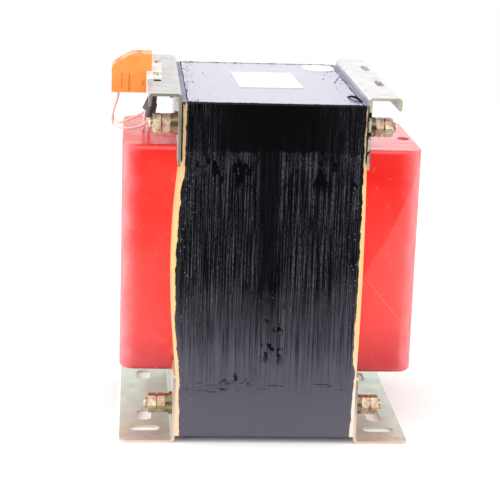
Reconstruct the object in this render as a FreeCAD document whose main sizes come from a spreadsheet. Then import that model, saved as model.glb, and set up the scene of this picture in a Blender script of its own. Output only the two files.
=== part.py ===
import FreeCAD, Part
import math
import os
import Sketcher

# A potted high-voltage transformer on an interleaved core of E and I sheets.
# The sheets stand upright and are stacked along X. The coil sits on their centre
# leg and comes out of both ends of the stack as a block of cast red resin.
# Four studs clamp the stack between bent brackets: two feet and two top flanges.
# Frame: millimetres, +Z up, the side that the sheet edges show is the front, at -Y.
# The origin is on the ground, in the middle of the foot slots.

SIZES = {
    # Core sheets
    "tongue_width": 64.0,
    "side_leg": 32.0,
    "yoke_width": 32.0,
    "window_height": 32.0,
    "window_length": 96.0,
    "stack_width": 96.4,
    "pack_count": 8,
    "stack_bow_left": 3.8,
    "stack_bow_right": 0.8,
    # Insulating boards at the two ends of the stack
    "board_thickness": 3.0,
    "board_gap": 0.2,
    # Clamping studs and what is on them
    "stud_diameter": 6.0,
    "stud_hole": 7.0,
    "stud_inset_y": 16.0,
    "stud_inset_z": 14.4,
    "stud_tail": 2.2,
    "stud_chamfer": 0.8,
    "thread_gap": 0.1,
    "washer_diameter": 13.0,
    "washer_bore": 6.4,
    "washer_thickness": 2.0,
    "spring_diameter": 11.0,
    "spring_slit": 1.4,
    "spring_thickness": 2.0,
    "nut_flats": 10.0,
    "nut_thickness": 5.0,
    # Feet
    "foot_sheet": 1.5,
    "foot_leg": 40.0,
    "foot_reach": 31.6,
    "foot_drop": 4.2,
    "foot_corner": 4.0,
    "leg_corner": 3.0,
    "foot_bend": 1.2,
    "foot_slot_offset": 17.3,
    "foot_slot_width": 8.5,
    "cross_slot_length": 18.0,
    "cross_slot_y": 59.5,
    "long_slot_length": 18.0,
    "long_slot_y": 37.2,
    # Top flanges
    "top_sheet": 1.5,
    "top_leg": 40.0,
    "flange_reach": 18.0,
    "flange_rise": 4.2,
    "top_bend": 0.6,
    "lip_depth": 7.0,
    "flange_slot_inset": 5.2,
    "flange_slot_width": 4.4,
    "flange_slot_length": 22.0,
    "front_slot_y": 24.0,
    "rear_slot_y": 38.0,
    # Coil former and windings
    "former_gap": 0.4,
    "former_wall": 2.5,
    "former_flange": 2.0,
    "former_margin": 0.8,
    "former_end_gap": 2.0,
    "former_corner": 1.0,
    "primary_build": 11.0,
    "barrier_build": 1.4,
    "secondary_build": 10.8,
    "wrap_build": 0.8,
    # Cast resin
    "resin_gap": 0.5,
    "resin_left": 32.2,
    "resin_left_top": 2.5,
    "resin_left_bottom": 3.4,
    "resin_right": 36.8,
    "resin_right_top": 1.6,
    "resin_right_bottom": 3.8,
    "resin_side_round": 7.7,
    "resin_base_round": 3.0,
    "resin_rim_round": 0.8,
    "leg_seat_gap": 0.2,
    "tail_hole": 1.8,
    "tail_one_x": 68.4,
    "tail_one_y": 6.6,
    "tail_one_depth": 16.1,
    "tail_two_x": 71.5,
    "tail_two_y": 3.6,
    "tail_two_depth": 20.1,
    # Terminal block on the left flange
    "strip_thickness": 1.6,
    "strip_inner": 8.0,
    "strip_margin": 8.0,
    "strip_block_gap": 0.2,
    "strip_front_y": 20.0,
    "strip_rear_y": 32.0,
    "strip_screw": 3.0,
    "strip_screw_hole": 3.3,
    "strip_screw_head": 5.0,
    "strip_head_height": 1.2,
    "strip_nut_flats": 5.5,
    "strip_nut_thickness": 2.4,
    "strip_screw_tail": 1.0,
    "screwdriver_slot": 0.8,
    "screwdriver_depth": 0.7,
    "block_overlap": 2.2,
    "block_width": 23.3,
    "block_step": 3.0,
    "block_drop": 11.3,
    "block_rise": 11.1,
    "block_slope_width": 11.5,
    "block_slope_height": 6.8,
    "block_edge_round": 4.5,
    "block_front_y": 5.2,
    "end_plate": 1.2,
    "pole_pitch": 9.0,
    "pole_count": 2,
    "pole_wall": 0.8,
    "pole_web": 1.0,
    "pole_floor": 2.5,
    "cage_width": 6.4,
    "cage_height": 7.0,
    "cage_gap": 0.2,
    "clamp_screw": 3.0,
    "clamp_head": 4.0,
    "clamp_head_height": 1.8,
    "clamp_screw_length": 3.0,
    "clamp_shaft": 4.6,
    "wire_hole": 2.6,
    "contact_bar": 1.0,
    "contact_width": 4.0,
    "plate_groove": 0.8,
    "plate_groove_depth": 0.6,
    "groove_one_inset": 6.0,
    "groove_one_lift": 3.0,
    "groove_two_inset": 10.3,
    "groove_two_lift": 0.5,
    "recess_width": 2.7,
    "recess_height": 2.8,
    "recess_lift": 4.2,
    # Leads and their splice sleeves
    "lead_diameter": 1.6,
    "lead_spread": 1.05,
    "sleeve_length": 19.5,
    "sleeve_body": 8.0,
    "sleeve_shoulder": 10.8,
    "sleeve_radius": 2.9,
    "sleeve_neck": 1.5,
    "sleeve_bore": 2.2,
    "sleeve_depth": 7.4,
    "sleeve_one_out": 16.7,
    "sleeve_one_aside": 8.4,
    "sleeve_one_up": 8.7,
    "sleeve_one_tilt": 11.0,
    "sleeve_two_out": 18.4,
    "sleeve_two_aside": 1.0,
    "sleeve_two_up": 11.6,
    "sleeve_two_tilt": 25.0,
    "lead_grip": 3.0,
    "lead_approach": 1.6,
    "lead_depth": 5.2,
    "tail_rise": 1.8,
    # Bare labels on the top of the core
    "label_thickness": 0.2,
    "label_width": 37.4,
    "label_length": 62.0,
    "label_x": 1.0,
    "label_y": 8.0,
    "label_turn": 2.0,
    "sticker_width": 19.5,
    "sticker_length": 29.0,
    "sticker_x": 38.0,
    "sticker_y": 63.0,
}

# Where each terminal lead turns on its way to its sleeve. Out and aside are measured from
# its bore, away from the core and towards the front. Up is measured from the resin's top.
LOOPS = [
    [
        {"out": 0.3, "aside": 0.0, "up": 19.7},
        {"out": 2.5, "aside": 0.2, "up": 12.8},
        {"out": 3.8, "aside": 0.8, "up": 7.8},
        {"out": 3.7, "aside": 5.0, "up": 2.5},
        {"out": -1.5, "aside": 9.0, "up": 2.0},
        {"out": -7.5, "aside": 10.4, "up": 2.2},
        {"out": -13.7, "aside": 10.1, "up": 3.6},
    ],
    [
        {"out": 0.3, "aside": 0.0, "up": 19.7},
        {"out": 2.7, "aside": -0.4, "up": 13.3},
        {"out": 3.6, "aside": -0.1, "up": 7.7},
        {"out": 3.3, "aside": 3.5, "up": 3.7},
        {"out": -0.2, "aside": 7.5, "up": 2.9},
        {"out": -4.8, "aside": 8.5, "up": 5.2},
        {"out": -9.5, "aside": 8.7, "up": 7.2},
    ],
]

ROOT_THREE = math.sqrt(3.0)
NUT_CHAMFER_START = 0.475
NUT_CHAMFER_SLOPE = 0.5
OVERSHOOT = 1.0
LEFT = -1
RIGHT = 1
FRONT = -1
REAR = 1

Vector = FreeCAD.Vector
doc = FreeCAD.newDocument("potted_transformer")
sheet = doc.addObject("Spreadsheet::Sheet", "Sizes")
subparts = []


# Sizes that know their formula

class Size:
    """A length that knows both its number and its formula on the sheet."""

    def __init__(self, formula, number):
        self.formula = formula
        self.number = number

    def __add__(self, other):
        other = as_size(other)
        return Size("(%s + %s)" % (self.formula, other.formula), self.number + other.number)

    def __sub__(self, other):
        other = as_size(other)
        return Size("(%s - %s)" % (self.formula, other.formula), self.number - other.number)

    def __mul__(self, other):
        other = as_size(other)
        return Size("(%s * %s)" % (self.formula, other.formula), self.number * other.number)

    def __truediv__(self, other):
        other = as_size(other)
        return Size("(%s / %s)" % (self.formula, other.formula), self.number / other.number)

    def __neg__(self):
        return Size("(0 - %s)" % self.formula, -self.number)


def as_size(value):
    if isinstance(value, Size):
        return value
    return Size(repr(value), value)


def fill_sheet():
    named = {}
    for row, (name, value) in enumerate(SIZES.items(), start=1):
        sheet.set("A%d" % row, name)
        sheet.set("B%d" % row, str(value))
        sheet.setAlias("B%d" % row, name)
        named[name] = Size("Sizes." + name, value)
    doc.recompute()
    return named


s = fill_sheet()
ZERO = as_size(0)


# Bodies and sketches

def new_body(name, x=ZERO, y=ZERO, z=ZERO, turn_axis=Vector(0, 0, 1), turn=ZERO):
    """An empty body at its place. Its turn is in degrees about the given axis."""
    body = doc.addObject("PartDesign::Body", name)
    body.Label = name
    place(body, x, y, z, turn_axis, turn)
    return body


def place(thing, x, y, z, turn_axis=Vector(0, 0, 1), turn=ZERO):
    rotation = FreeCAD.Rotation(turn_axis, turn.number)
    thing.Placement = FreeCAD.Placement(Vector(x.number, y.number, z.number), rotation)
    for axis, size in (("x", x), ("y", y), ("z", z)):
        thing.setExpression("Placement.Base." + axis, size.formula)
    if turn is not ZERO:
        thing.setExpression("Placement.Rotation.Angle", turn.formula)


def new_sketch(body, plane, offset):
    """A sketch on one of the body's own origin planes, moved along that plane's normal."""
    role = plane + "_Plane"
    face = next(f for f in body.Origin.OriginFeatures if f.Role == role)
    sketch = body.newObject("Sketcher::SketchObject", body.Label + "_sketch")
    sketch.AttachmentSupport = [(face, "")]
    sketch.MapMode = "FlatFace"
    sketch.setExpression("AttachmentOffset.Base.z", as_size(offset).formula)
    return sketch


def fix_point(sketch, geometry, point, x, y):
    """Ties a point to the sketch's origin by the formulas of its two coordinates."""
    for kind, axis, size in (("DistanceX", -2, as_size(x)), ("DistanceY", -1, as_size(y))):
        if size.formula == "0":
            sketch.addConstraint(Sketcher.Constraint("PointOnObject", geometry, point, axis))
        else:
            distance = Sketcher.Constraint(kind, -1, 1, geometry, point, float(size.number))
            index = sketch.addConstraint(distance)
            sketch.setExpression("Constraints[%d]" % index, size.formula)


def fix_radius(sketch, geometry, radius):
    index = sketch.addConstraint(Sketcher.Constraint("Radius", geometry, float(radius.number)))
    sketch.setExpression("Constraints[%d]" % index, radius.formula)


def polygon(sketch, corners):
    points = []
    for x, y in corners:
        points.append(Vector(as_size(x).number, as_size(y).number, 0))
    lines = []
    for index, start in enumerate(points):
        end = points[(index + 1) % len(points)]
        lines.append(sketch.addGeometry(Part.LineSegment(start, end)))
    for index, line in enumerate(lines):
        following = lines[(index + 1) % len(lines)]
        sketch.addConstraint(Sketcher.Constraint("Coincident", line, 2, following, 1))
    for line, (x, y) in zip(lines, corners):
        fix_point(sketch, line, 1, x, y)


def rectangle(sketch, low_x, high_x, low_y, high_y):
    polygon(sketch, [(low_x, low_y), (high_x, low_y), (high_x, high_y), (low_x, high_y)])


def centred_rectangle(sketch, half_x, half_y):
    rectangle(sketch, -half_x, half_x, -half_y, half_y)


def circle(sketch, x, y, diameter):
    radius = diameter / 2
    centre = Vector(as_size(x).number, as_size(y).number, 0)
    ring = sketch.addGeometry(Part.Circle(centre, Vector(0, 0, 1), radius.number))
    fix_point(sketch, ring, 3, x, y)
    fix_radius(sketch, ring, radius)


def add_arc(sketch, x, y, radius, start_degrees, sweep_degrees):
    centre = Vector(as_size(x).number, as_size(y).number, 0)
    ring = Part.Circle(centre, Vector(0, 0, 1), radius.number)
    start = math.radians(start_degrees)
    return sketch.addGeometry(Part.ArcOfCircle(ring, start, start + math.radians(sweep_degrees)))


def join_smoothly(sketch, pairs):
    for first, second in pairs:
        sketch.addConstraint(Sketcher.Constraint("Tangent", first, 2, second, 1))


def slot(sketch, x, y, length, width, along):
    """A slot with round ends, along the sketch's first or second axis."""
    radius = width / 2
    reach = (length - width) / 2
    r = radius.number
    if along == "X":
        ends = [(x + reach, y, -90), (x - reach, y, 90)]
        side = Vector(0, r, 0)
    else:
        ends = [(x, y + reach, 0), (x, y - reach, 180)]
        side = Vector(-r, 0, 0)
    far = Vector(as_size(ends[0][0]).number, as_size(ends[0][1]).number, 0)
    near = Vector(as_size(ends[1][0]).number, as_size(ends[1][1]).number, 0)
    first = add_arc(sketch, ends[0][0], ends[0][1], radius, ends[0][2], 180)
    going = sketch.addGeometry(Part.LineSegment(far + side, near + side))
    second = add_arc(sketch, ends[1][0], ends[1][1], radius, ends[1][2], 180)
    coming = sketch.addGeometry(Part.LineSegment(near - side, far - side))
    join_smoothly(sketch, [(first, going), (going, second), (second, coming), (coming, first)])
    sketch.addConstraint(Sketcher.Constraint("Equal", first, second))
    fix_radius(sketch, first, radius)
    fix_point(sketch, first, 3, ends[0][0], ends[0][1])
    fix_point(sketch, second, 3, ends[1][0], ends[1][1])


def rounded_rectangle(sketch, half_x, half_y, radius):
    """A rectangle about the origin, its four corners turned on one radius."""
    x = half_x.number
    y = half_y.number
    r = radius.number
    inner_x = half_x - radius
    inner_y = half_y - radius
    centres = [(inner_x, inner_y), (-inner_x, inner_y), (-inner_x, -inner_y), (inner_x, -inner_y)]
    sides = [
        (Vector(x - r, y, 0), Vector(r - x, y, 0)), (Vector(-x, y - r, 0), Vector(-x, r - y, 0)),
        (Vector(r - x, -y, 0), Vector(x - r, -y, 0)), (Vector(x, r - y, 0), Vector(x, y - r, 0))]
    chain = []
    for quarter, ((centre_x, centre_y), (begin, end)) in enumerate(zip(centres, sides)):
        chain.append(add_arc(sketch, centre_x, centre_y, radius, quarter * 90, 90))
        chain.append(sketch.addGeometry(Part.LineSegment(begin, end)))
    join_smoothly(sketch, zip(chain, chain[1:] + chain[:1]))
    turns = chain[0::2]
    for turn, (centre_x, centre_y) in zip(turns, centres):
        fix_point(sketch, turn, 3, centre_x, centre_y)
    for turn in turns[1:]:
        sketch.addConstraint(Sketcher.Constraint("Equal", turns[0], turn))
    fix_radius(sketch, turns[0], radius)


def bowed_segment(sketch, side, x, low, high, bow):
    """The area between an upright chord at side * x and an arc that stands out by bow."""
    chord = high - low
    radius = chord * chord / (bow * 8) + bow / 2
    start = Vector(side * x.number, low.number, 0)
    end = Vector(side * x.number, high.number, 0)
    crown = Vector(side * (x.number + bow.number), (low.number + high.number) / 2, 0)
    line = sketch.addGeometry(Part.LineSegment(end, start))
    curve = sketch.addGeometry(Part.Arc(start, crown, end))
    first, last = (1, 2) if side > 0 else (2, 1)
    sketch.addConstraint(Sketcher.Constraint("Coincident", line, 2, curve, first))
    sketch.addConstraint(Sketcher.Constraint("Coincident", line, 1, curve, last))
    fix_point(sketch, line, 2, x * side, low)
    fix_point(sketch, line, 1, x * side, high)
    fix_radius(sketch, curve, radius)


# Features

def slab(body, plane, low, high, draw):
    """Adds the drawn profile between two heights along the plane's axis."""
    low = as_size(low)
    high = as_size(high)
    offset = -high if plane == "XZ" else low
    sketch = new_sketch(body, plane, offset)
    draw(sketch)
    feature = body.newObject("PartDesign::Pad", body.Label + "_pad")
    feature.Profile = sketch
    feature.setExpression("Length", (high - low).formula)
    return feature


def cut(body, plane, low, high, draw):
    """Takes the drawn profile away between two heights along the plane's axis."""
    doc.recompute()
    before = body.Shape.Volume
    low = as_size(low)
    high = as_size(high)
    offset = -low if plane == "XZ" else high
    sketch = new_sketch(body, plane, offset)
    draw(sketch)
    feature = body.newObject("PartDesign::Pocket", body.Label + "_pocket")
    feature.Profile = sketch
    feature.setExpression("Length", (high - low).formula)
    doc.recompute()
    if body.Shape.Volume >= before:
        raise RuntimeError(body.Label + ": a pocket took nothing away")
    return feature


def revolve(body, draw):
    """Turns a profile in the XZ plane about Z."""
    sketch = new_sketch(body, "XZ", 0)
    draw(sketch)
    feature = body.newObject("PartDesign::Revolution", body.Label + "_turned")
    feature.Profile = sketch
    feature.ReferenceAxis = (sketch, ["V_Axis"])
    feature.Angle = 360
    return feature


def edges_where(body, test):
    doc.recompute()
    names = []
    for index, edge in enumerate(body.Shape.Edges, start=1):
        if test(edge):
            names.append("Edge%d" % index)
    if not names:
        raise RuntimeError(body.Label + ": no edge fits the test")
    return names


def runs_along(edge, axis):
    """True for a straight edge along X, Y or Z."""
    if edge.Curve.TypeId != "Part::GeomLine":
        return False
    direction = edge.Curve.Direction
    return abs(getattr(direction, axis)) > 0.999


def at(edge, **places):
    """True where the edge's middle has the given coordinates, in the part's frame."""
    middle = edge.valueAt((edge.FirstParameter + edge.LastParameter) / 2)
    for axis, size in places.items():
        if abs(getattr(middle, axis) - as_size(size).number) > 0.01:
            return False
    return True


def dress(body, kind, test, radius):
    """Rounds or breaks the edges that pass the test."""
    names = edges_where(body, test)
    base = body.Tip
    feature = body.newObject("PartDesign::" + kind, body.Label + "_" + kind.lower())
    feature.Base = (base, names)
    feature.setExpression("Radius" if kind == "Fillet" else "Size", radius.formula)
    return feature


def keep(thing, label=None):
    """Lists a finished sub-part for export."""
    if label:
        thing.Label = label
    subparts.append(thing)
    return thing


def copies(label, form, places, rotation=None):
    """One node of separate solids: the same form at each place."""
    links = []
    for index, (x, y, z) in enumerate(places):
        link = doc.addObject("App::Link", "%s_%d" % (label, index + 1))
        link.LinkedObject = form
        if rotation:
            link.Placement = FreeCAD.Placement(Vector(0, 0, 0), rotation)
        for axis, size in (("x", x), ("y", y), ("z", z)):
            link.setExpression("Placement.Base." + axis, as_size(size).formula)
        links.append(link)
    group = doc.addObject("Part::Compound", label)
    group.Links = links
    return keep(group, label)


def span(side, near, far):
    """The low and high end of a stretch from near to far, on the given side of zero."""
    if side > 0:
        return near, far
    return -far, -near


# Lines that several pieces share

core_height = s["tongue_width"] + s["window_height"] * 2 + s["side_leg"] * 2
core_depth = s["window_length"] + s["yoke_width"] * 2
half_height = core_height / 2
half_depth = core_depth / 2
half_stack = s["stack_width"] / 2
half_tongue = s["tongue_width"] / 2
half_window = s["window_length"] / 2
window_top = half_tongue + s["window_height"]
core_middle = s["foot_drop"] + half_height
core_top = s["foot_drop"] + core_height
board_face = half_stack + s["board_thickness"]
stud_y = half_depth - s["stud_inset_y"]
stud_up = half_height - s["stud_inset_z"]
flange_top = core_top + s["flange_rise"]
flange_outer = board_face + s["flange_reach"]
bow_low = -(half_height + s["foot_drop"] - s["foot_leg"])
bow_high = half_height + s["flange_rise"] - s["top_leg"]
pack = s["stack_width"] / s["pack_count"]
bows = {LEFT: s["stack_bow_left"], RIGHT: s["stack_bow_right"]}


def draw_stud_holes(sketch):
    for across in (FRONT, REAR):
        for up in (-1, 1):
            circle(sketch, stud_y * across, stud_up * up, s["stud_hole"])


# Core sheets, in packs whose open ends face the front and the rear by turns

def sheet_packs(name, first_pack, yoke_end, side, draw):
    """Every second pack of one sheet form, the outermost one swollen between the brackets."""
    body = new_body(name, z=core_middle)
    start = -half_stack + pack * first_pack
    feature = slab(body, "YZ", start, start + pack, draw)
    pattern = body.newObject("PartDesign::LinearPattern", name + "_packs")
    pattern.Originals = [feature]
    pattern.Direction = (feature.Profile[0], ["N_Axis"])
    pattern.setExpression("Occurrences", (s["pack_count"] / 2).formula)
    pattern.setExpression("Length", (pack * (s["pack_count"] - 2)).formula)
    body.Tip = pattern
    low, high = span(yoke_end, half_window, half_depth)
    slab(body, "XZ", low, high,
         lambda sk: bowed_segment(sk, side, half_stack, bow_low, bow_high, bows[side]))
    return keep(body)


def draw_e_sheet(end):
    """The E form: a yoke at one end and three legs that reach to the other end of the window."""
    def draw(sketch):
        yoke = half_depth * end
        root = half_window * end
        tip = -half_window * end
        polygon(sketch, [
            (yoke, -half_height), (tip, -half_height), (tip, -window_top), (root, -window_top),
            (root, -half_tongue), (tip, -half_tongue), (tip, half_tongue), (root, half_tongue),
            (root, window_top), (tip, window_top), (tip, half_height), (yoke, half_height)])
        for up in (-1, 1):
            circle(sketch, stud_y * end, stud_up * up, s["stud_hole"])
    return draw


def draw_i_sheet(end):
    """The I form: the bar that closes the open end of the E."""
    def draw(sketch):
        low, high = span(end, half_window, half_depth)
        rectangle(sketch, low, high, -half_height, half_height)
        for up in (-1, 1):
            circle(sketch, stud_y * end, stud_up * up, s["stud_hole"])
    return draw


sheet_packs("e_sheets_front", 0, FRONT, LEFT, draw_e_sheet(FRONT))
sheet_packs("i_sheets_rear", 0, REAR, LEFT, draw_i_sheet(REAR))
sheet_packs("e_sheets_rear", 1, REAR, RIGHT, draw_e_sheet(REAR))
sheet_packs("i_sheets_front", 1, FRONT, RIGHT, draw_i_sheet(FRONT))


# Insulating end boards, a frame each, bowed with the stack between the brackets

def end_board(name, side):
    body = new_body(name, z=core_middle)

    def draw_frame(sketch):
        centred_rectangle(sketch, half_depth, half_height)
        centred_rectangle(sketch, half_window + s["board_gap"], window_top + s["board_gap"])
        draw_stud_holes(sketch)

    low, high = span(side, half_stack, board_face)
    slab(body, "YZ", low, high, draw_frame)
    for end in (FRONT, REAR):
        low, high = span(end, half_window + s["board_gap"], half_depth)
        slab(body, "XZ", low, high,
             lambda sk: bowed_segment(sk, side, board_face, bow_low, bow_high, bows[side]))
        cut(body, "XZ", low, high,
            lambda sk: bowed_segment(sk, side, half_stack, bow_low, bow_high, bows[side]))
    return keep(body)


end_board("end_board_left", LEFT)
end_board("end_board_right", RIGHT)


# Coil former and the layers wound on it

passage_x = half_stack + s["former_gap"]
passage_z = half_tongue + s["former_gap"]
tube_x = passage_x + s["former_wall"]
tube_z = passage_z + s["former_wall"]
tube_round = s["former_corner"] + s["former_wall"]
half_former = half_window - s["former_end_gap"]
winding_end = half_former - s["former_flange"]
layers = [
    ("primary_winding", s["primary_build"]),
    ("winding_barrier", s["barrier_build"]),
    ("secondary_winding", s["secondary_build"]),
    ("outer_wrap", s["wrap_build"]),
]


def coil_layer(name, inner_build, outer_build):
    """One rounded rectangular ring of the coil, between two builds over the tube."""
    body = new_body(name, z=core_middle)
    slab(body, "XZ", -winding_end, winding_end, lambda sk: rounded_rectangle(
        sk, tube_x + outer_build, tube_z + outer_build, tube_round + outer_build))
    cut(body, "XZ", -winding_end, winding_end, lambda sk: rounded_rectangle(
        sk, tube_x + inner_build, tube_z + inner_build, tube_round + inner_build))
    return keep(body)


coil_build = ZERO
for layer_name, build in layers:
    coil_layer(layer_name, coil_build, coil_build + build)
    coil_build = coil_build + build

coil_x = tube_x + coil_build
coil_z = tube_z + coil_build
flange_x = coil_x + s["former_margin"]
flange_z = coil_z + s["former_margin"]


def add_former_flanges(body):
    for low, high in ((-half_former, -winding_end), (winding_end, half_former)):
        slab(body, "XZ", low, high, lambda sk: centred_rectangle(sk, flange_x, flange_z))


def coil_former():
    body = new_body("coil_former", z=core_middle)
    slab(body, "XZ", -half_former, half_former,
         lambda sk: rounded_rectangle(sk, tube_x, tube_z, tube_round))
    add_former_flanges(body)
    cut(body, "XZ", -half_former, half_former, lambda sk: centred_rectangle(sk, passage_x, passage_z))
    return keep(body)


coil_former()


# Cast resin: poured round the coil, through both windows and out at both ends

def resin_block():
    half_resin = half_window
    past_resin = half_resin + OVERSHOOT
    collars = (
        (LEFT, board_face + s["resin_left"],
         window_top + s["resin_left_bottom"], window_top + s["resin_left_top"]),
        (RIGHT, board_face + s["resin_right"],
         window_top + s["resin_right_bottom"], window_top + s["resin_right_top"]),
    )

    form = new_body("resin_form", z=core_middle)
    slab(form, "YZ", -board_face, board_face,
         lambda sk: centred_rectangle(sk, half_window - s["resin_gap"], window_top - s["resin_gap"]))
    for side, face, drop, rise in collars:
        low, high = span(side, board_face, face)
        slab(form, "YZ", low, high, lambda sk: rectangle(sk, -half_resin, half_resin, -drop, rise))

    for side, face, drop, rise in collars:
        def on_collar(edge):
            return edge.CenterOfMass.x * side > board_face.number

        def is_upright_corner(edge):
            return runs_along(edge, "z") and at(edge, x=face * side)

        def is_base_rim(edge):
            return on_collar(edge) and at(edge, z=core_middle - drop)

        def is_top_rim(edge):
            return on_collar(edge) and at(edge, z=core_middle + rise)

        dress(form, "Fillet", is_upright_corner, s["resin_side_round"])
        dress(form, "Fillet", is_base_rim, s["resin_base_round"])
        dress(form, "Fillet", is_top_rim, s["resin_rim_round"])

    for side, face, drop, rise in collars:
        seats = (
            (bow_high - s["leg_seat_gap"], rise + OVERSHOOT, s["top_sheet"]),
            (-drop - OVERSHOOT, bow_low + s["leg_seat_gap"], s["foot_sheet"]),
        )
        for seat_low, seat_high, thickness in seats:
            low, high = span(side, board_face, board_face + thickness + s["leg_seat_gap"])
            cut(form, "YZ", low, high,
                lambda sk: rectangle(sk, -past_resin, past_resin, seat_low, seat_high))
    cut(form, "XZ", -half_resin, half_resin, lambda sk: centred_rectangle(sk, passage_x, passage_z))
    left_rise = collars[0][3]
    for tail in ("tail_one", "tail_two"):
        cut(form, "XY", left_rise - s[tail + "_depth"], left_rise, lambda sk: circle(
            sk, -s[tail + "_x"], -s[tail + "_y"], s["tail_hole"]))

    space = new_body("coil_space", z=core_middle)
    slab(space, "XZ", -half_former, half_former,
         lambda sk: rounded_rectangle(sk, coil_x, coil_z, tube_round + coil_build))
    add_former_flanges(space)

    block = doc.addObject("Part::Cut", "resin_block")
    block.Base = form
    block.Tool = space
    return keep(block, "resin_block")


resin_block()


# Brackets bent from sheet, as long as the core is deep

def round_bend(body, side, x, z, radius):
    dress(body, "Fillet", lambda edge: runs_along(edge, "y") and at(edge, x=x * side, z=z), radius)


def drill_leg(body, side, thickness):
    low, high = span(side, board_face, board_face + thickness)
    cut(body, "YZ", low, high, lambda sk: [
        circle(sk, stud_y * across, core_middle + stud_up * level, s["stud_hole"])
        for across in (FRONT, REAR)
        for level in ((1,) if body.Label.startswith("top") else (-1,))])


def top_bracket(name, side):
    """A leg against the stack, a flange over the top and a lip turned down at its edge."""
    body = new_body(name)
    t = s["top_sheet"]
    leg_outer = board_face + t
    underside = flange_top - t
    lip_inner = flange_outer - t
    leg_end = flange_top - s["top_leg"]
    lip_end = flange_top - s["lip_depth"]
    outline = [
        (board_face, leg_end), (leg_outer, leg_end), (leg_outer, underside), (lip_inner, underside),
        (lip_inner, lip_end), (flange_outer, lip_end), (flange_outer, flange_top), (board_face, flange_top)]
    slab(body, "XZ", -half_depth, half_depth, lambda sk: polygon(sk, [(x * side, z) for x, z in outline]))
    round_bend(body, side, leg_outer, underside, s["top_bend"])
    round_bend(body, side, lip_inner, underside, s["top_bend"])
    round_bend(body, side, board_face, flange_top, s["top_bend"] + t)
    round_bend(body, side, flange_outer, flange_top, s["top_bend"] + t)
    slot_x = (flange_outer - s["flange_slot_inset"]) * side
    for slot_y in (-s["front_slot_y"], s["rear_slot_y"]):
        cut(body, "XY", underside - s["top_bend"], flange_top, lambda sk: slot(
            sk, slot_x, slot_y, s["flange_slot_length"], s["flange_slot_width"], "Y"))
    drill_leg(body, side, t)
    return keep(body)


def foot_bracket(name, side):
    """A leg against the stack and a foot turned out along the ground, with its fixing slots."""
    body = new_body(name)
    t = s["foot_sheet"]
    leg_outer = board_face + t
    foot_end = board_face + s["foot_reach"]
    outline = [
        (board_face, ZERO), (foot_end, ZERO), (foot_end, t),
        (leg_outer, t), (leg_outer, s["foot_leg"]), (board_face, s["foot_leg"])]
    slab(body, "XZ", -half_depth, half_depth, lambda sk: polygon(sk, [(x * side, z) for x, z in outline]))
    round_bend(body, side, leg_outer, t, s["foot_bend"])
    round_bend(body, side, board_face, ZERO, s["foot_bend"] + t)

    def is_foot_corner(edge):
        return runs_along(edge, "z") and at(edge, x=foot_end * side)

    def is_leg_corner(edge):
        return runs_along(edge, "x") and at(edge, z=s["foot_leg"])

    dress(body, "Fillet", is_foot_corner, s["foot_corner"])
    dress(body, "Fillet", is_leg_corner, s["leg_corner"])
    slot_x = (board_face + s["foot_slot_offset"]) * side
    kinds = (
        (s["cross_slot_y"], s["cross_slot_length"], "X"),
        (s["long_slot_y"], s["long_slot_length"], "Y"),
    )
    for end in (FRONT, REAR):
        for slot_y, length, along in kinds:
            cut(body, "XY", ZERO, t, lambda sk: slot(
                sk, slot_x, slot_y * end, length, s["foot_slot_width"], along))
    drill_leg(body, side, t)
    return keep(body)


for side_name, side in (("left", LEFT), ("right", RIGHT)):
    top_bracket("top_bracket_" + side_name, side)
    foot_bracket("foot_bracket_" + side_name, side)


# Studs through the stack, and their washers and nuts

levels = (("top", 1, s["top_sheet"]), ("bottom", -1, s["foot_sheet"]))
hardware_stack = s["washer_thickness"] + s["spring_thickness"] + s["nut_thickness"] * 2


def stud(name, across, up, sheet_thickness):
    reach = board_face + sheet_thickness + hardware_stack + s["stud_tail"]
    body = new_body(name, y=stud_y * across, z=core_middle + stud_up * up)
    slab(body, "YZ", -reach, reach, lambda sk: circle(sk, ZERO, ZERO, s["stud_diameter"]))
    dress(body, "Chamfer", lambda edge: edge.Curve.TypeId == "Part::GeomCircle", s["stud_chamfer"])
    return keep(body)


for level_name, up, thickness in levels:
    for end_name, across in (("front", FRONT), ("rear", REAR)):
        stud("stud_%s_%s" % (level_name, end_name), across, up, thickness)


def nut_form(name, flats, thickness, thread):
    """A hexagon nut along X, two corners level, its corners turned off at both faces."""
    body = new_body(name)
    half = flats / 2
    corner = flats / ROOT_THREE
    shoulder = corner / 2
    hexagon = [
        (corner, ZERO), (shoulder, half), (-shoulder, half),
        (-corner, ZERO), (-shoulder, -half), (shoulder, -half)]

    def draw(sketch):
        polygon(sketch, hexagon)
        circle(sketch, ZERO, ZERO, thread + s["thread_gap"])

    slab(body, "YZ", ZERO, thickness, draw)
    doc.recompute()
    before = body.Shape.Volume
    rim = flats * NUT_CHAMFER_START
    clear = corner + OVERSHOOT
    drop = (clear - rim) * NUT_CHAMFER_SLOPE
    sketch = new_sketch(body, "XY", ZERO)
    polygon(sketch, [(ZERO, rim), (drop, clear), (ZERO, clear)])
    polygon(sketch, [(thickness, rim), (thickness, clear), (thickness - drop, clear)])
    groove = body.newObject("PartDesign::Groove", name + "_corners")
    groove.Profile = sketch
    groove.ReferenceAxis = (sketch, ["H_Axis"])
    groove.Angle = 360
    doc.recompute()
    if body.Shape.Volume >= before:
        raise RuntimeError(name + ": the corners weren't turned off")
    return body


def washer_form():
    body = new_body("washer_form")

    def draw(sketch):
        circle(sketch, ZERO, ZERO, s["washer_diameter"])
        circle(sketch, ZERO, ZERO, s["washer_bore"])

    slab(body, "YZ", ZERO, s["washer_thickness"], draw)
    return body


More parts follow.
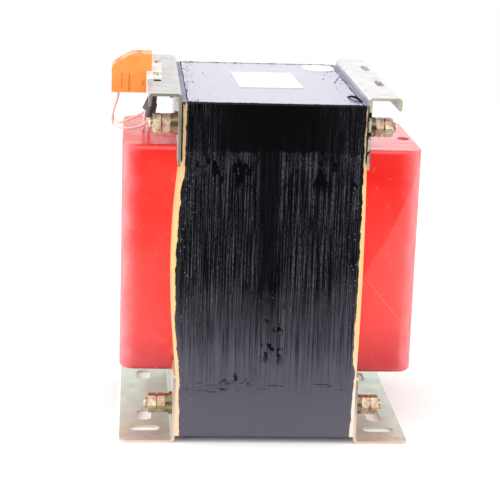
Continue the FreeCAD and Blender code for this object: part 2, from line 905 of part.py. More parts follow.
def spring_washer_form():
    """A split ring, its slit cut at a slant."""
    body = new_body("spring_washer_form")

    def draw(sketch):
        circle(sketch, ZERO, ZERO, s["spring_diameter"])
        circle(sketch, ZERO, ZERO, s["washer_bore"])

    slab(body, "YZ", ZERO, s["spring_thickness"], draw)
    half_slit = s["spring_slit"] / 2
    slant = s["spring_thickness"]
    deep = s["spring_diameter"]

    def draw_slit(sketch):
        polygon(sketch, [
            (ZERO, -half_slit), (slant, half_slit), (slant, half_slit * 3), (ZERO, half_slit)])

    cut(body, "XY", ZERO, deep, draw_slit)
    return body


big_nut = nut_form("stud_nut_form", s["nut_flats"], s["nut_thickness"], s["stud_diameter"])
flat_washer = washer_form()
split_washer = spring_washer_form()


def stacked(side, start, thickness):
    """The places, at the four studs, of a piece that starts at a height over the brackets."""
    places = []
    for _, up, sheet_thickness in levels:
        for across in (FRONT, REAR):
            face = board_face + sheet_thickness + start
            low, _ = span(side, face, face + thickness)
            places.append((low, stud_y * across, core_middle + stud_up * up))
    return places


for side_name, side in (("left", LEFT), ("right", RIGHT)):
    height = ZERO
    for kind, form, thickness in (
            ("flat_washers", flat_washer, s["washer_thickness"]),
            ("spring_washers", split_washer, s["spring_thickness"]),
            ("clamp_nuts", big_nut, s["nut_thickness"]),
            ("lock_nuts", big_nut, s["nut_thickness"])):
        copies("%s_%s" % (kind, side_name), form, stacked(side, height, thickness))
        height = height + thickness


# Terminal block, hung over the edge of the left flange on its moulded strip

strip_top = flange_top + s["strip_thickness"]
slot_line = flange_outer - s["flange_slot_inset"]
block_inner = flange_outer - s["block_overlap"]
block_outer = block_inner + s["block_width"]
block_back = block_inner + s["block_step"]
block_base = flange_top - s["block_drop"]
block_top = flange_top + s["block_rise"]
plate_front = -s["block_front_y"]
pole_start = plate_front + s["end_plate"]
cage_base = block_base + s["pole_floor"]
cage_top = cage_base + s["cage_height"]
room_top = cage_top + s["cage_gap"]
room_inner = block_back + s["pole_wall"]
room_outer = block_outer - s["pole_wall"]
inner_clamp = room_inner + s["cage_gap"] + s["cage_width"] / 2
outer_clamp = room_outer - s["cage_gap"] - s["cage_width"] / 2


def draw_block_outline(sketch):
    """The outline of a pole from its end: sloped at the outer top, stepped over the flange."""
    polygon(sketch, [
        (-block_outer, block_base), (-block_back, block_base), (-block_back, strip_top),
        (-block_inner, strip_top), (-block_inner, block_top),
        (-(block_outer - s["block_slope_width"]), block_top),
        (-block_outer, block_top - s["block_slope_height"])])


def round_slope(body):
    def is_slope_edge(edge):
        slope_end = -(block_outer - s["block_slope_width"])
        low_end = block_top - s["block_slope_height"]
        upper = at(edge, x=slope_end, z=block_top)
        lower = at(edge, x=-block_outer, z=low_end)
        return runs_along(edge, "y") and (upper or lower)

    dress(body, "Fillet", is_slope_edge, s["block_edge_round"])


def terminal_end_plate():
    body = new_body("terminal_end_plate")
    slab(body, "XZ", plate_front, pole_start, draw_block_outline)
    round_slope(body)
    half_groove = s["plate_groove"] / 2
    groove_floor = plate_front + s["plate_groove_depth"]
    for groove in ("groove_one", "groove_two"):
        middle = block_outer - s[groove + "_inset"]
        low = block_base + s[groove + "_lift"]
        cut(body, "XZ", plate_front, groove_floor, lambda sk: rectangle(
            sk, -middle - half_groove, -middle + half_groove, low, flange_top))
    recess_low = block_base + s["recess_lift"]
    cut(body, "XZ", plate_front, groove_floor, lambda sk: rectangle(
        sk, -block_back - s["recess_width"], -block_back, recess_low, recess_low + s["recess_height"]))
    return keep(body)


def terminal_pole(name, front):
    """A pole open at its front face, closed there by the plate or the pole before it."""
    body = new_body(name)
    slab(body, "XZ", front, front + s["pole_pitch"], draw_block_outline)
    round_slope(body)
    cut(body, "XZ", front, front + s["pole_pitch"] - s["pole_web"],
        lambda sk: rectangle(sk, -room_outer, -room_inner, cage_base, room_top))
    middle = front + s["cage_gap"] + s["cage_width"] / 2
    for clamp in (inner_clamp, outer_clamp):
        cut(body, "XY", room_top, block_top, lambda sk: circle(sk, -clamp, middle, s["clamp_shaft"]))
        cut(body, "XY", block_base, cage_base, lambda sk: circle(sk, -clamp, middle, s["wire_hole"]))
    return keep(body)


def screw_form(name, thread, length, head, head_height):
    """A slotted screw that points down, its head standing on the XY plane."""
    body = new_body(name)
    slab(body, "XY", -length, ZERO, lambda sk: circle(sk, ZERO, ZERO, thread))
    slab(body, "XY", ZERO, head_height, lambda sk: circle(sk, ZERO, ZERO, head))
    cut(body, "XY", head_height - s["screwdriver_depth"], head_height, lambda sk: centred_rectangle(
        sk, head, s["screwdriver_slot"] / 2))
    return body


def cage_form():
    body = new_body("cage_form")

    def draw(sketch):
        centred_rectangle(sketch, s["cage_width"] / 2, s["cage_width"] / 2)
        circle(sketch, ZERO, ZERO, s["clamp_screw"] + s["thread_gap"])

    slab(body, "XY", ZERO, s["cage_height"], draw)
    return body


terminal_end_plate()
pole_fronts = []
for index in range(SIZES["pole_count"]):
    pole_fronts.append(pole_start + s["pole_pitch"] * index)
    terminal_pole("terminal_pole_%d" % (index + 1), pole_fronts[-1])

clamp_places = []
for front in pole_fronts:
    for clamp in (inner_clamp, outer_clamp):
        clamp_places.append((-clamp, front + s["cage_gap"] + s["cage_width"] / 2))
copies("clamp_cages", cage_form(), [(x, y, cage_base) for x, y in clamp_places])
clamp_screw = screw_form("clamp_screw_form", s["clamp_screw"], s["clamp_screw_length"],
                         s["clamp_head"], s["clamp_head_height"])
copies("clamp_screws", clamp_screw, [(x, y, cage_top) for x, y in clamp_places])


def contact_form():
    """The bar that joins the two cages of a pole."""
    body = new_body("contact_form")
    low = -(outer_clamp - s["cage_width"] / 2)
    high = -(inner_clamp + s["cage_width"] / 2)
    half = s["contact_width"] / 2
    slab(body, "XY", ZERO, s["contact_bar"], lambda sk: rectangle(sk, low, high, -half, half))
    return body


copies("contact_bars", contact_form(), [
    (ZERO, front + s["cage_gap"] + s["cage_width"] / 2, cage_base) for front in pole_fronts])


def terminal_strip():
    body = new_body("terminal_strip")
    low_x = -(block_back - s["strip_block_gap"])
    high_x = -(flange_outer - s["strip_inner"])
    low_y = -(s["strip_front_y"] + s["strip_margin"])
    high_y = s["strip_rear_y"] + s["strip_margin"]

    def draw(sketch):
        rectangle(sketch, low_x, high_x, low_y, high_y)
        for y in (-s["strip_front_y"], s["strip_rear_y"]):
            circle(sketch, -slot_line, y, s["strip_screw_hole"])

    slab(body, "XY", flange_top, strip_top, draw)
    return keep(body)


terminal_strip()
strip_ends = (-s["strip_front_y"], s["strip_rear_y"])
strip_grip = s["strip_thickness"] + s["top_sheet"]
strip_screw_length = strip_grip + s["strip_nut_thickness"] + s["strip_screw_tail"]
strip_screw = screw_form("strip_screw_form", s["strip_screw"], strip_screw_length,
                         s["strip_screw_head"], s["strip_head_height"])
copies("strip_screws", strip_screw, [(-slot_line, y, strip_top) for y in strip_ends])
strip_nut = nut_form("strip_nut_form", s["strip_nut_flats"], s["strip_nut_thickness"], s["strip_screw"])
upright = FreeCAD.Rotation(Vector(0, 1, 0), -90)
strip_nut_base = flange_top - s["top_sheet"] - s["strip_nut_thickness"]
copies("strip_nuts", strip_nut, [(-slot_line, y, strip_nut_base) for y in strip_ends], upright)


# Leads: from the resin into a black splice sleeve, and from there to the terminal block

def splice_sleeve(name, x, y, z, tilt):
    """A closed-end sleeve, its mouth down, leaning in under the flange."""
    body = new_body(name, x, y, z, Vector(0, 1, 0), tilt)
    length = s["sleeve_length"]
    neck = s["sleeve_neck"]
    tip = neck / 2

    def draw(sketch):
        polygon(sketch, [
            (s["sleeve_bore"], ZERO), (s["sleeve_radius"], ZERO), (s["sleeve_radius"], s["sleeve_body"]),
            (neck, s["sleeve_shoulder"]), (neck, length - tip), (tip, length), (ZERO, length),
            (ZERO, s["sleeve_depth"]), (s["sleeve_bore"], s["sleeve_depth"])])

    revolve(body, draw)
    return keep(body)


def lead(name, route):
    """A round lead along straight runs joined by tangent arcs."""
    points = [Vector(*(as_size(value).number for value in point)) for point in route]
    edges = []
    radii = []
    start = points[0]
    for before, corner, after in zip(points, points[1:], points[2:]):
        arriving = (corner - before)
        leaving = (after - corner)
        half_turn = arriving.getAngle(leaving) / 2
        trim = 0.45 * min(arriving.Length, leaving.Length)
        radius = trim / math.tan(half_turn)
        first = corner - arriving.normalize() * trim
        last = corner + leaving.normalize() * trim
        inward = (leaving - arriving).normalize()
        middle = corner + inward * (radius / math.cos(half_turn) - radius)
        edges.append(Part.LineSegment(start, first).toShape())
        edges.append(Part.Arc(first, middle, last).toShape())
        radii.append(radius)
        start = last
    edges.append(Part.LineSegment(start, points[-1]).toShape())
    path = Part.Wire(edges)
    radius = s["lead_diameter"].number / 2
    section = Part.Wire(Part.makeCircle(radius, points[0], points[1] - points[0]))
    thing = doc.addObject("Part::Feature", name)
    thing.Shape = path.makePipeShell([section], True, True)
    thing.Placement = FreeCAD.Placement()
    expected = math.pi * radius ** 2 * path.Length
    print("%s: length %.1f, smallest radius %.2f, volume ratio %.4f" % (
        name, path.Length, min(radii), thing.Shape.Volume / expected))
    return keep(thing, name)


resin_top = core_middle + window_top + s["resin_left_top"]
bore_middles = [front + s["cage_gap"] + s["cage_width"] / 2 for front in pole_fronts]


class Sleeve:
    """A sleeve's mouth and lean, placed from the board, the first bore and the resin."""

    def __init__(self, name):
        self.x = -(board_face + s[name + "_out"])
        self.y = bore_middles[0] - s[name + "_aside"]
        self.z = resin_top + s[name + "_up"]
        self.tilt = s[name + "_tilt"]

    def entry(self, side):
        """The end of a lead's way: in through the mouth, beside the axis on one side of it."""
        tilt = math.radians(self.tilt.number)
        points = []
        for depth in (-s["lead_approach"].number, s["lead_depth"].number):
            points.append((
                self.x.number + depth * math.sin(tilt),
                self.y.number + s["lead_spread"].number * side,
                self.z.number + depth * math.cos(tilt)))
        return points


sleeve_one = Sleeve("sleeve_one")
sleeve_two = Sleeve("sleeve_two")
for number, sleeve in ((1, sleeve_one), (2, sleeve_two)):
    splice_sleeve("splice_sleeve_%d" % number, sleeve.x, sleeve.y, sleeve.z, sleeve.tilt)


def loop(number):
    """A lead's way from its clamp, down through the bore and round to its sleeve."""
    bore_x = -outer_clamp.number
    bore_y = bore_middles[number].number
    points = [(bore_x, bore_y, (cage_base + s["lead_grip"]).number)]
    for stop in LOOPS[number]:
        points.append((bore_x - stop["out"], bore_y - stop["aside"], resin_top.number + stop["up"]))
    return points


def tail_start(name):
    """A tail's way from the winding straight up and out of the resin."""
    x = -s[name + "_x"].number
    y = -s[name + "_y"].number
    return [(x, y, (resin_top - s[name + "_depth"]).number), (x, y, (resin_top + s["tail_rise"]).number)]

lead("terminal_lead_1", loop(0) + sleeve_one.entry(FRONT))
lead("terminal_lead_2", loop(1) + sleeve_two.entry(REAR))
lead("coil_tail_1", tail_start("tail_one") + sleeve_one.entry(REAR))
lead("coil_tail_2", tail_start("tail_two") + sleeve_two.entry(FRONT))


# Bare labels on the core

def rectangular_label():
    body = new_body("blank_label", s["label_x"], s["label_y"], core_top, Vector(0, 0, 1), s["label_turn"])
    slab(body, "XY", ZERO, s["label_thickness"], lambda sk: centred_rectangle(
        sk, s["label_width"] / 2, s["label_length"] / 2))
    return keep(body)


def round_ended_sticker():
    body = new_body("blank_sticker", s["sticker_x"], s["sticker_y"], core_top)
    slab(body, "XY", ZERO, s["label_thickness"], lambda sk: slot(
        sk, ZERO, ZERO, s["sticker_length"], s["sticker_width"], "Y"))
    return keep(body)


rectangular_label()
round_ended_sticker()


# Checks and export

def check_document():
    doc.recompute()
    for thing in doc.Objects:
        if "Invalid" in thing.State or "Error" in thing.State:
            raise RuntimeError("%s is %s" % (thing.Label, thing.State))
    for thing in subparts:
        if thing.Shape.isNull() or not thing.Shape.isValid():
            raise RuntimeError("%s has no valid shape" % thing.Label)


def export_subparts():
    os.makedirs("parts", exist_ok=True)
    for thing in subparts:
        thing.Shape.exportStep("parts/%s.step" % thing.Label)
        print("%-22s %3d solids %12.1f mm3" % (
            thing.Label, len(thing.Shape.Solids), thing.Shape.Volume))


check_document()
export_subparts()
print(len(subparts), "sub-parts")
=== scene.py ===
# %% [markdown]
# # A potted high-voltage transformer
#
# The CAD model gives every solid of this part. Here each solid gets the finish that its real
# material has, and thin things that only show at the surface are added as meshes: the paint
# that laps over the boards, and the threads at the ends of the studs.
# Everything is in metres, in the CAD model's own frame: X runs across the stack of core
# sheets, the front is at -Y, and the feet stand on Z = 0.

# %% Load the frame
import math
import random

import bmesh
import bpy
from mathutils import Matrix, Vector, noise


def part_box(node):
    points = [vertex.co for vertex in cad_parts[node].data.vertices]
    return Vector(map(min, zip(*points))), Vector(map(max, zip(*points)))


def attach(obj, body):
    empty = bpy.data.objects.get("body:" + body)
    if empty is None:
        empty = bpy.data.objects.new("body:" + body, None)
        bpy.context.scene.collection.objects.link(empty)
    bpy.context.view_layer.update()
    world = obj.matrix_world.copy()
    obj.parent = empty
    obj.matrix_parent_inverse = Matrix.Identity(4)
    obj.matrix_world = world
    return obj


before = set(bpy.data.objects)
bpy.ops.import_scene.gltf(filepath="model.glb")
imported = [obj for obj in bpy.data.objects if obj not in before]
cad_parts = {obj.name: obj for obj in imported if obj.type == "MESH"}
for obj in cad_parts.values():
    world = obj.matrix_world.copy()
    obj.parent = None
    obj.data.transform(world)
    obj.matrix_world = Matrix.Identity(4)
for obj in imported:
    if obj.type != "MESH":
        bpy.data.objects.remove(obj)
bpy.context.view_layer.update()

scene = bpy.context.scene
print(len(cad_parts), "CAD nodes")


# %% [markdown]
# ## Colours
#
# A colour picked from a photograph is an sRGB value, but Cycles works with linear light. One
# function turns a hex code into linear numbers, so that every finish can be written in hex.

# %% From hex codes to linear light
def linear(code):
    """An sRGB hex code as linear red, green, blue and alpha."""
    channels = []
    for start in (0, 2, 4):
        value = int(code[start:start + 2], 16) / 255
        channels.append(value / 12.92 if value <= 0.04045 else ((value + 0.055) / 1.055) ** 2.4)
    return (*channels, 1.0)


print("the grey 808080 is %.3f in linear light" % linear("808080")[0])


# %% [markdown]
# ## Finishes and their nodes
#
# Each finish is one material: a Principled shader, and nodes that vary its colour, roughness
# and relief. The node editor would do as well, but code can be read from top to bottom. One
# function adds a node of any kind. A mask is a number from 0 to 1 at each point of the
# surface. Masks are laid over each other by multiplying them, and a band is a mask round one
# place. Patterns read object coordinates, which are metres here: a scale of 1000 gives one
# feature a millimetre. Where a comment gives a size, the scale is a metre divided by it.

# %% A finish
in_colour = {"data_type": "RGBA"}
plus, minus, multiply = {"operation": "ADD"}, {"operation": "SUBTRACT"}, {"operation": "MULTIPLY"}
larger, without_sign, root = {"operation": "MAXIMUM"}, {"operation": "ABSOLUTE"}, {"operation": "SQRT"}


class Surface:
    """A material, its Principled shader, and the place of each point on it."""

    def __init__(self, name, **settings):
        self.material = bpy.data.materials.new(name)
        self.material.use_nodes = True
        self.tree = self.material.node_tree
        self.shader = self.tree.nodes["Principled BSDF"]
        for socket, value in settings.items():
            self.shader.inputs[socket.replace("_", " ")].default_value = value
        self.place = self.tree.nodes.new("ShaderNodeTexCoord").outputs["Object"]
        self.x, self.y, self.z = self.add("SeparateXYZ", Vector=self.place).node.outputs

    def add(self, kind, settings=None, **links):
        """Adds a node and gives back its first output.

        Settings are its properties. Links are its sockets by name: each takes a value or
        another node's output, or a list of them where several sockets share the name.
        """
        node = self.tree.nodes.new("ShaderNode" + kind)
        for name, value in (settings or {}).items():
            setattr(node, name, value)
        for name, given in links.items():
            label = name.replace("_", " ")
            sockets = [socket for socket in node.inputs if socket.enabled and socket.name == label]
            values = given if isinstance(given, list) else [given]
            assert len(sockets) >= len(values), kind + " has no socket " + label
            for socket, value in zip(sockets, values):
                if isinstance(value, bpy.types.NodeSocket):
                    self.tree.links.new(value, socket)
                else:
                    socket.default_value = value
        return next(socket for socket in node.outputs if socket.enabled)

    def overlap(self, *masks):
        """Where several masks are high at once: their product."""
        product = masks[0]
        for mask in masks[1:]:
            product = self.add("Math", multiply, Value=[product, mask])
        return product

    def band(self, value, centre, inner, outer):
        """A mask: 1 within inner of the centre, and 0 beyond outer."""
        away = self.add("Math", minus, Value=[value, centre])
        away = self.add("Math", without_sign, Value=[away])
        return self.add("MapRange", Value=away, From_Min=outer, From_Max=inner)

    def feed(self, socket, value):
        """Links a node's output to a socket of the shader."""
        self.tree.links.new(value, self.shader.inputs[socket])


def dress(surface, *names):
    """Puts a finish in the material slots of CAD nodes."""
    for name in names:
        for material_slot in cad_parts[name].material_slots:
            material_slot.material = surface.material
    print(surface.material.name + ":", len(surface.tree.nodes), "nodes, on", ", ".join(names))


# %% [markdown]
# ## Places that the finishes share
#
# Some finishes follow the shape: the paint laps along the line where the stack meets the
# boards, and the haze on the paint lies low on the core. Their places come from the boxes of
# the CAD nodes. Between the brackets the stack swells in a shallow arc, which a parabola
# follows to a few hundredths of a millimetre.

# %% Places
board_low, board_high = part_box("end_board_right")
left_low, left_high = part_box("end_board_left")
foot_low, foot_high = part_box("foot_bracket_right")
leg_low, leg_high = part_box("top_bracket_right")
print("right top bracket from Y %.1f to %.1f mm" % (leg_low[1] * 1000, leg_high[1] * 1000))
front, rear = board_low[1], board_high[1]
core_base, core_top = board_low[2], board_high[2]
stack = board_low[0]
board_sheet = 0.003
swell = {-1: -left_low[0] - board_sheet - stack, 1: board_high[0] - board_sheet - stack}
swell_low = foot_high[2]
swell_high = core_base + core_top - swell_low
swell_middle = (swell_low + swell_high) / 2
swell_half = (swell_high - swell_low) / 2


def stack_side(side, z):
    """How far out the stack's side stands at a height, where it meets the board."""
    along = (z - swell_middle) / swell_half
    return stack + swell[side] * max(0.0, 1 - along * along)


print("stack %.1f mm, swell %.1f and %.1f mm, from Z %.1f to %.1f" % (
    stack * 2000, swell[-1] * 1000, swell[1] * 1000, swell_low * 1000, swell_high * 1000))


# %% [markdown]
# ## Core paint: brush lines
#
# The core is about 190 steel sheets, half a millimetre thick, stacked along X, and brushed
# all over with glossy black insulating paint. Fine grey lines show where the brush left sheet
# edges nearly bare. They change quickly across X and slowly along Z, so the noise behind them
# is stretched: a line every 0.4 mm across, each about 60 mm long. A second, thicker coat ends
# at a ragged line 27 mm below the top, and the lines show below that and at its sides.
# Modelled lines would need thousands of thin faces, which noise saves.

# %% Brush lines
paint = Surface("gloss black paint brushed over sheet edges", Roughness=0.16, IOR=1.52)
coat_end = core_top - 0.0270
coat_fade = 0.0006
# The coat's end wanders by 2 mm either way, in teeth about 2.4 mm wide.
ragged = paint.add("TexNoise", Scale=1.0, Detail=5.0, Roughness=0.8,
                   Vector=paint.add("Mapping", Vector=paint.place, Scale=(420, 420, 60)))
wander = paint.add("MapRange", Value=ragged, From_Min=0.3, From_Max=0.7, To_Min=-0.002, To_Max=0.002)
coat_line = paint.add("Math", plus, Value=[paint.z, wander])
from_middle = paint.add("Math", without_sign, Value=[paint.x])
thick_coat = paint.add("MapRange", Value=from_middle, From_Min=0.022, From_Max=0.040, To_Min=0.06, To_Max=0.6)
below_coat = paint.add("MapRange", Value=coat_line,
                       From_Min=coat_end + coat_fade, From_Max=coat_end - coat_fade)
thin_coat = paint.add("Math", larger, Value=[thick_coat, below_coat])
# Lines of 0.4 mm, broken by a grain of 0.7 mm. Bands of 7 mm are more or less worn.
lines = paint.add("TexNoise", Scale=1.0, Detail=4.0, Roughness=0.75,
                  Vector=paint.add("Mapping", Vector=paint.place, Scale=(2300, 2300, 16)))
grain = paint.add("TexNoise", Scale=1.0, Detail=3.0, Roughness=0.7,
                  Vector=paint.add("Mapping", Vector=paint.place, Scale=(1500, 1500, 420)))
bands = paint.add("TexNoise", Scale=1.0, Detail=3.0, Roughness=0.6,
                  Vector=paint.add("Mapping", Vector=paint.place, Scale=(150, 150, 15)))
patches = paint.add("TexNoise", Vector=paint.place, Scale=70, Detail=4.0, Roughness=0.65)
# One broad run of paint, 2 mm left of the middle, covers most of its lines.
thick_run = paint.overlap(paint.band(paint.x, -0.002, 0.004, 0.007), 0.8)
thin_run = paint.add("Math", minus, Value=[1.0, thick_run])
worn = paint.overlap(paint.add("MapRange", Value=bands, From_Min=0.42, From_Max=0.62),
                     paint.add("MapRange", Value=patches, From_Min=0.3, From_Max=0.6))
worn = paint.overlap(paint.add("MapRange", Value=worn, From_Max=0.6, To_Min=0.5), thin_run)
bare = paint.overlap(paint.add("MapRange", Value=lines, From_Min=0.50, From_Max=0.60),
                     paint.add("MapRange", Value=grain, From_Min=0.38, From_Max=0.56, To_Min=0.2),
                     worn, thin_coat)
print("second coat ends at Z %.0f mm" % (coat_end * 1000))


# %% [markdown]
# ## Core paint: where the second coat ran thin
#
# Just under the end of the second coat the front is speckled with pale grit, and black
# smears lie over it. Both are noise in a band of heights. They are masks that add to the
# bare lines or take from them, so no second material is needed.

# %% Speckle and smears
speckle = paint.add("TexNoise", Scale=1.0, Detail=3.0, Roughness=0.75,
                    Vector=paint.add("Mapping", Vector=paint.place, Scale=(1300, 1300, 900)))
speckle = paint.overlap(paint.add("MapRange", Value=speckle, From_Min=0.50, From_Max=0.60),
                        paint.band(paint.z, 0.1640, 0.003, 0.012), below_coat, thin_run,
                        paint.add("MapRange", Value=patches, From_Min=0.4, From_Max=0.6))
smears = paint.add("TexNoise", Scale=1.0, Detail=4.0, Roughness=0.7,
                   Vector=paint.add("Mapping", Vector=paint.place, Scale=(130, 130, 60)))
smears = paint.overlap(paint.add("MapRange", Value=smears, From_Min=0.51, From_Max=0.54),
                       paint.band(paint.z, 0.158, 0.006, 0.014))
bare = paint.overlap(paint.add("Math", larger, Value=[bare, paint.overlap(speckle, 0.4)]),
                     paint.add("Math", minus, Value=[1.0, smears]))
print("speckle of %.1f mm, smears of %.0f mm" % (1000 / 1300, 1000 / 130))


# %% [markdown]
# ## Core paint: dust and painted reflection low down, drips and cracks
#
# Towards the feet the paint turns slate grey, densest on the lowest 50 mm, with dark brush
# lines left in it: dust, and a painted reflection of the white table before the part. Drips
# in a column near the middle, a row of pits and a long crack stay black. They could be
# modelled one by one. They are noise too, kept to their places by bands across and up,
# because at this size only their colour and a slight relief show.

# %% Dust and painted reflection low down, drips and cracks
uneven = paint.add("MapRange", Value=bands, From_Min=0.35, From_Max=0.65, To_Min=-0.010, To_Max=0.010)
# Slate rising towards the feet: dust, and a painted reflection of the white table.
rising = paint.add("MapRange", From_Min=0.098, From_Max=0.046,
                   Value=paint.add("Math", plus, Value=[paint.z, uneven]))
strokes = paint.add("TexNoise", Scale=1.0, Detail=4.0, Roughness=0.8,
                    Vector=paint.add("Mapping", Vector=paint.place, Scale=(850, 850, 12)))
between_lines = paint.overlap(
    paint.add("MapRange", Value=strokes, From_Min=0.53, From_Max=0.44),
    paint.add("MapRange", Value=paint.z, From_Min=0.028, From_Max=0.062, To_Min=0.04, To_Max=0.75))
low_dust_and_painted_reflection = paint.overlap(rising, paint.add("Math", minus, Value=[1.0, between_lines]))
drips = paint.add("TexNoise", Scale=1.0, Detail=3.0, Roughness=0.7,
                  Vector=paint.add("Mapping", Vector=paint.place, Scale=(260, 260, 170)))
column = paint.overlap(paint.band(paint.x, 0.0025, 0.004, 0.009), paint.band(paint.z, 0.069, 0.016, 0.024))
row_of_pits = paint.overlap(paint.band(paint.x, -0.018, 0.006, 0.012), paint.band(paint.z, 0.039, 0.002, 0.006))
drip_mask = paint.overlap(paint.add("MapRange", Value=drips, From_Min=0.545, From_Max=0.56),
                          paint.add("Math", larger, Value=[column, row_of_pits]))
cracks = paint.add("TexNoise", Scale=1.0, Detail=2.0, Roughness=0.6,
                   Vector=paint.add("Mapping", Vector=paint.place, Scale=(75, 75, 900)))
long_crack = paint.overlap(paint.add("MapRange", Value=cracks, From_Min=0.52, From_Max=0.56),
                           paint.band(paint.z, 0.0325, 0.0008, 0.003),
                           paint.band(paint.x, -0.030, 0.006, 0.010))
short_cracks = paint.overlap(paint.add("MapRange", Value=cracks, From_Min=0.62, From_Max=0.66),
                             paint.band(paint.z, 0.034, 0.002, 0.006))
flaw = paint.add("Math", larger, Value=[drip_mask, paint.add("Math", larger, Value=[long_crack, short_cracks])])
print("haze from Z 98 mm down, drips round 69 mm, cracks at 33 mm")


# %% [markdown]
# ## Core paint: colours, gloss and relief
#
# The masks come together here, each as one colour over the last, so their order is the
# order of the layers. The paint is black with a shine; bare lines are mid grey. Low down it
# turns slate, dust and a painted reflection of the white table; the top face is lavender
# slate, dust and a painted reflection of the lamp behind. Pale specks of about 2 mm spacing
# lie near the sides. Bare places and the slate low down are rougher. The lines stand a tenth
# of a millimetre high, drips and cracks up to three tenths.

# %% Core paint put together
specks = paint.add("TexVoronoi", Vector=paint.place, Scale=420)
speck_mask = paint.overlap(paint.add("MapRange", Value=specks, From_Min=0.16, From_Max=0.10),
                           paint.add("MapRange", Value=from_middle, From_Min=0.040, From_Max=0.046),
                           below_coat, 0.6)
top_lines = paint.add("TexNoise", Scale=1.0, Detail=4.0, Roughness=0.7,
                      Vector=paint.add("Mapping", Vector=paint.place, Scale=(900, 30, 900)))
# The top face: grey dust, with a lavender painted reflection of the lamp behind it.
dust_and_painted_reflection_top = paint.overlap(
    paint.add("MapRange", Value=paint.z, From_Min=core_top - 0.0003, From_Max=core_top - 0.0001),
    paint.add("MapRange", Value=top_lines, From_Min=0.30, From_Max=0.46, To_Min=0.7))
tint = paint.add("Mix", in_colour, Factor=bare, A=linear("060608"), B=linear("52515b"))
for mask, code in ((low_dust_and_painted_reflection, "4b4955"), (flaw, "020203"), (speck_mask, "8c8c9c"), (dust_and_painted_reflection_top, "797694")):
    tint = paint.add("Mix", in_colour, Factor=mask, A=tint, B=linear(code))
paint.feed("Base Color", tint)
dullness = paint.add("Math", plus, Value=[bare, low_dust_and_painted_reflection])
paint.feed("Roughness", paint.add("MapRange", Value=dullness, From_Max=1.2, To_Min=0.13, To_Max=0.5))
relief = paint.add("Bump", Height=lines, Distance=0.00012, Strength=0.4)
relief = paint.add("Bump", Height=drips, Distance=0.0003, Strength=0.2, Normal=relief)
relief = paint.add("Bump", Height=flaw, Distance=0.0003, Strength=0.8, Normal=relief)
relief = paint.add("Bump", Height=below_coat, Distance=0.0001, Strength=0.5, Normal=relief)
paint.feed("Normal", relief)
dress(paint, "e_sheets_front", "i_sheets_rear", "e_sheets_rear", "i_sheets_front")


# %% [markdown]
# ## Insulating boards
#
# The boards at the ends of the stack are tan glass-mat laminate with sawn edges: matt, with
# short fibres of about 1 mm across and 17 mm up. Paint has run over their top edges and down
# their outer edge, with borders that noise bends. Their feet are paler, the right one more.
# Above Z 150 mm they turn darker olive: painted shade under the brackets. Their top faces take
# the core's top colour, grey dust and a painted reflection. Painted strips could be pieces of
# their own, but a mask needs no mesh and follows the board's bend.

# %% End boards
board = Surface("varnished glass-mat laminate with sawn edges", Roughness=0.42, IOR=1.54)
fibre = board.add("TexNoise", Scale=1.0, Detail=4.0, Roughness=0.65,
                  Vector=board.add("Mapping", Vector=board.place, Scale=(900, 300, 60)))
mottle = board.add("TexNoise", Vector=board.place, Scale=60, Detail=4.0, Roughness=0.6)
spatter = board.add("TexNoise", Scale=1.0, Detail=5.0, Roughness=0.75,
                    Vector=board.add("Mapping", Vector=board.place, Scale=(500, 500, 120)))
# Paler towards the feet, the right one more.
paler_foot = board.overlap(
    board.add("MapRange", Value=board.z, From_Min=0.060, From_Max=0.030),
    board.add("MapRange", Value=board.x, From_Min=-0.01, From_Max=0.01, To_Min=0.35, To_Max=0.95))
# Darker olive above Z 150 mm: painted shade under the brackets.
painted_shade_high = board.add("MapRange", Value=board.z, From_Min=0.150, From_Max=0.168, To_Max=0.75)
wander = board.add("MapRange", Value=spatter, From_Min=0.3, From_Max=0.7, To_Min=-0.004, To_Max=0.004)
upper_edge = board.add("Math", plus, Value=[board.z, wander])
run_down = board.add("MapRange", Value=upper_edge, From_Min=core_top - 0.0040, From_Max=core_top - 0.0010)
wander = board.add("MapRange", Value=spatter, From_Min=0.3, From_Max=0.7, To_Min=-0.0004, To_Max=0.0004)
out_from_core = board.add("Math", plus, Value=[board.add("Math", without_sign, Value=[board.x]), wander])
outer_run = board.overlap(
    board.add("MapRange", Value=out_from_core, From_Min=stack + 0.0019, From_Max=stack + 0.0022),
    board.add("MapRange", Value=upper_edge, From_Min=0.163, From_Max=0.166))
painted = board.add("Math", larger, Value=[run_down, outer_run])
# The top takes the core's top colour: grey dust and a painted reflection.
dust_and_painted_reflection_top = board.add("MapRange", Value=board.z, From_Min=core_top - 0.0003, From_Max=core_top - 0.0001)
tint = board.add("Mix", in_colour, Factor=fibre, A=linear("e2a562"), B=linear("fbce94"))
stained = board.add("MapRange", Value=mottle, From_Min=0.5, From_Max=0.75, To_Max=0.6)
for mask, code in ((stained, "d29a5c"), (paler_foot, "e2d2c6"), (painted_shade_high, "9a8a5c"), (painted, "0a0a0c"),
                   (dust_and_painted_reflection_top, "797694")):
    tint = board.add("Mix", in_colour, Factor=mask, A=tint, B=linear(code))
board.feed("Base Color", tint)
board.feed("Roughness", board.add("MapRange", Value=mottle, From_Min=0.3, From_Max=0.7,
                                  To_Min=0.35, To_Max=0.6))
relief = board.add("Bump", Height=fibre, Distance=0.00015, Strength=0.6)
board.feed("Normal", board.add("Bump", Height=spatter, Distance=0.0003, Strength=0.4, Normal=relief))
dress(board, "end_board_left", "end_board_right")
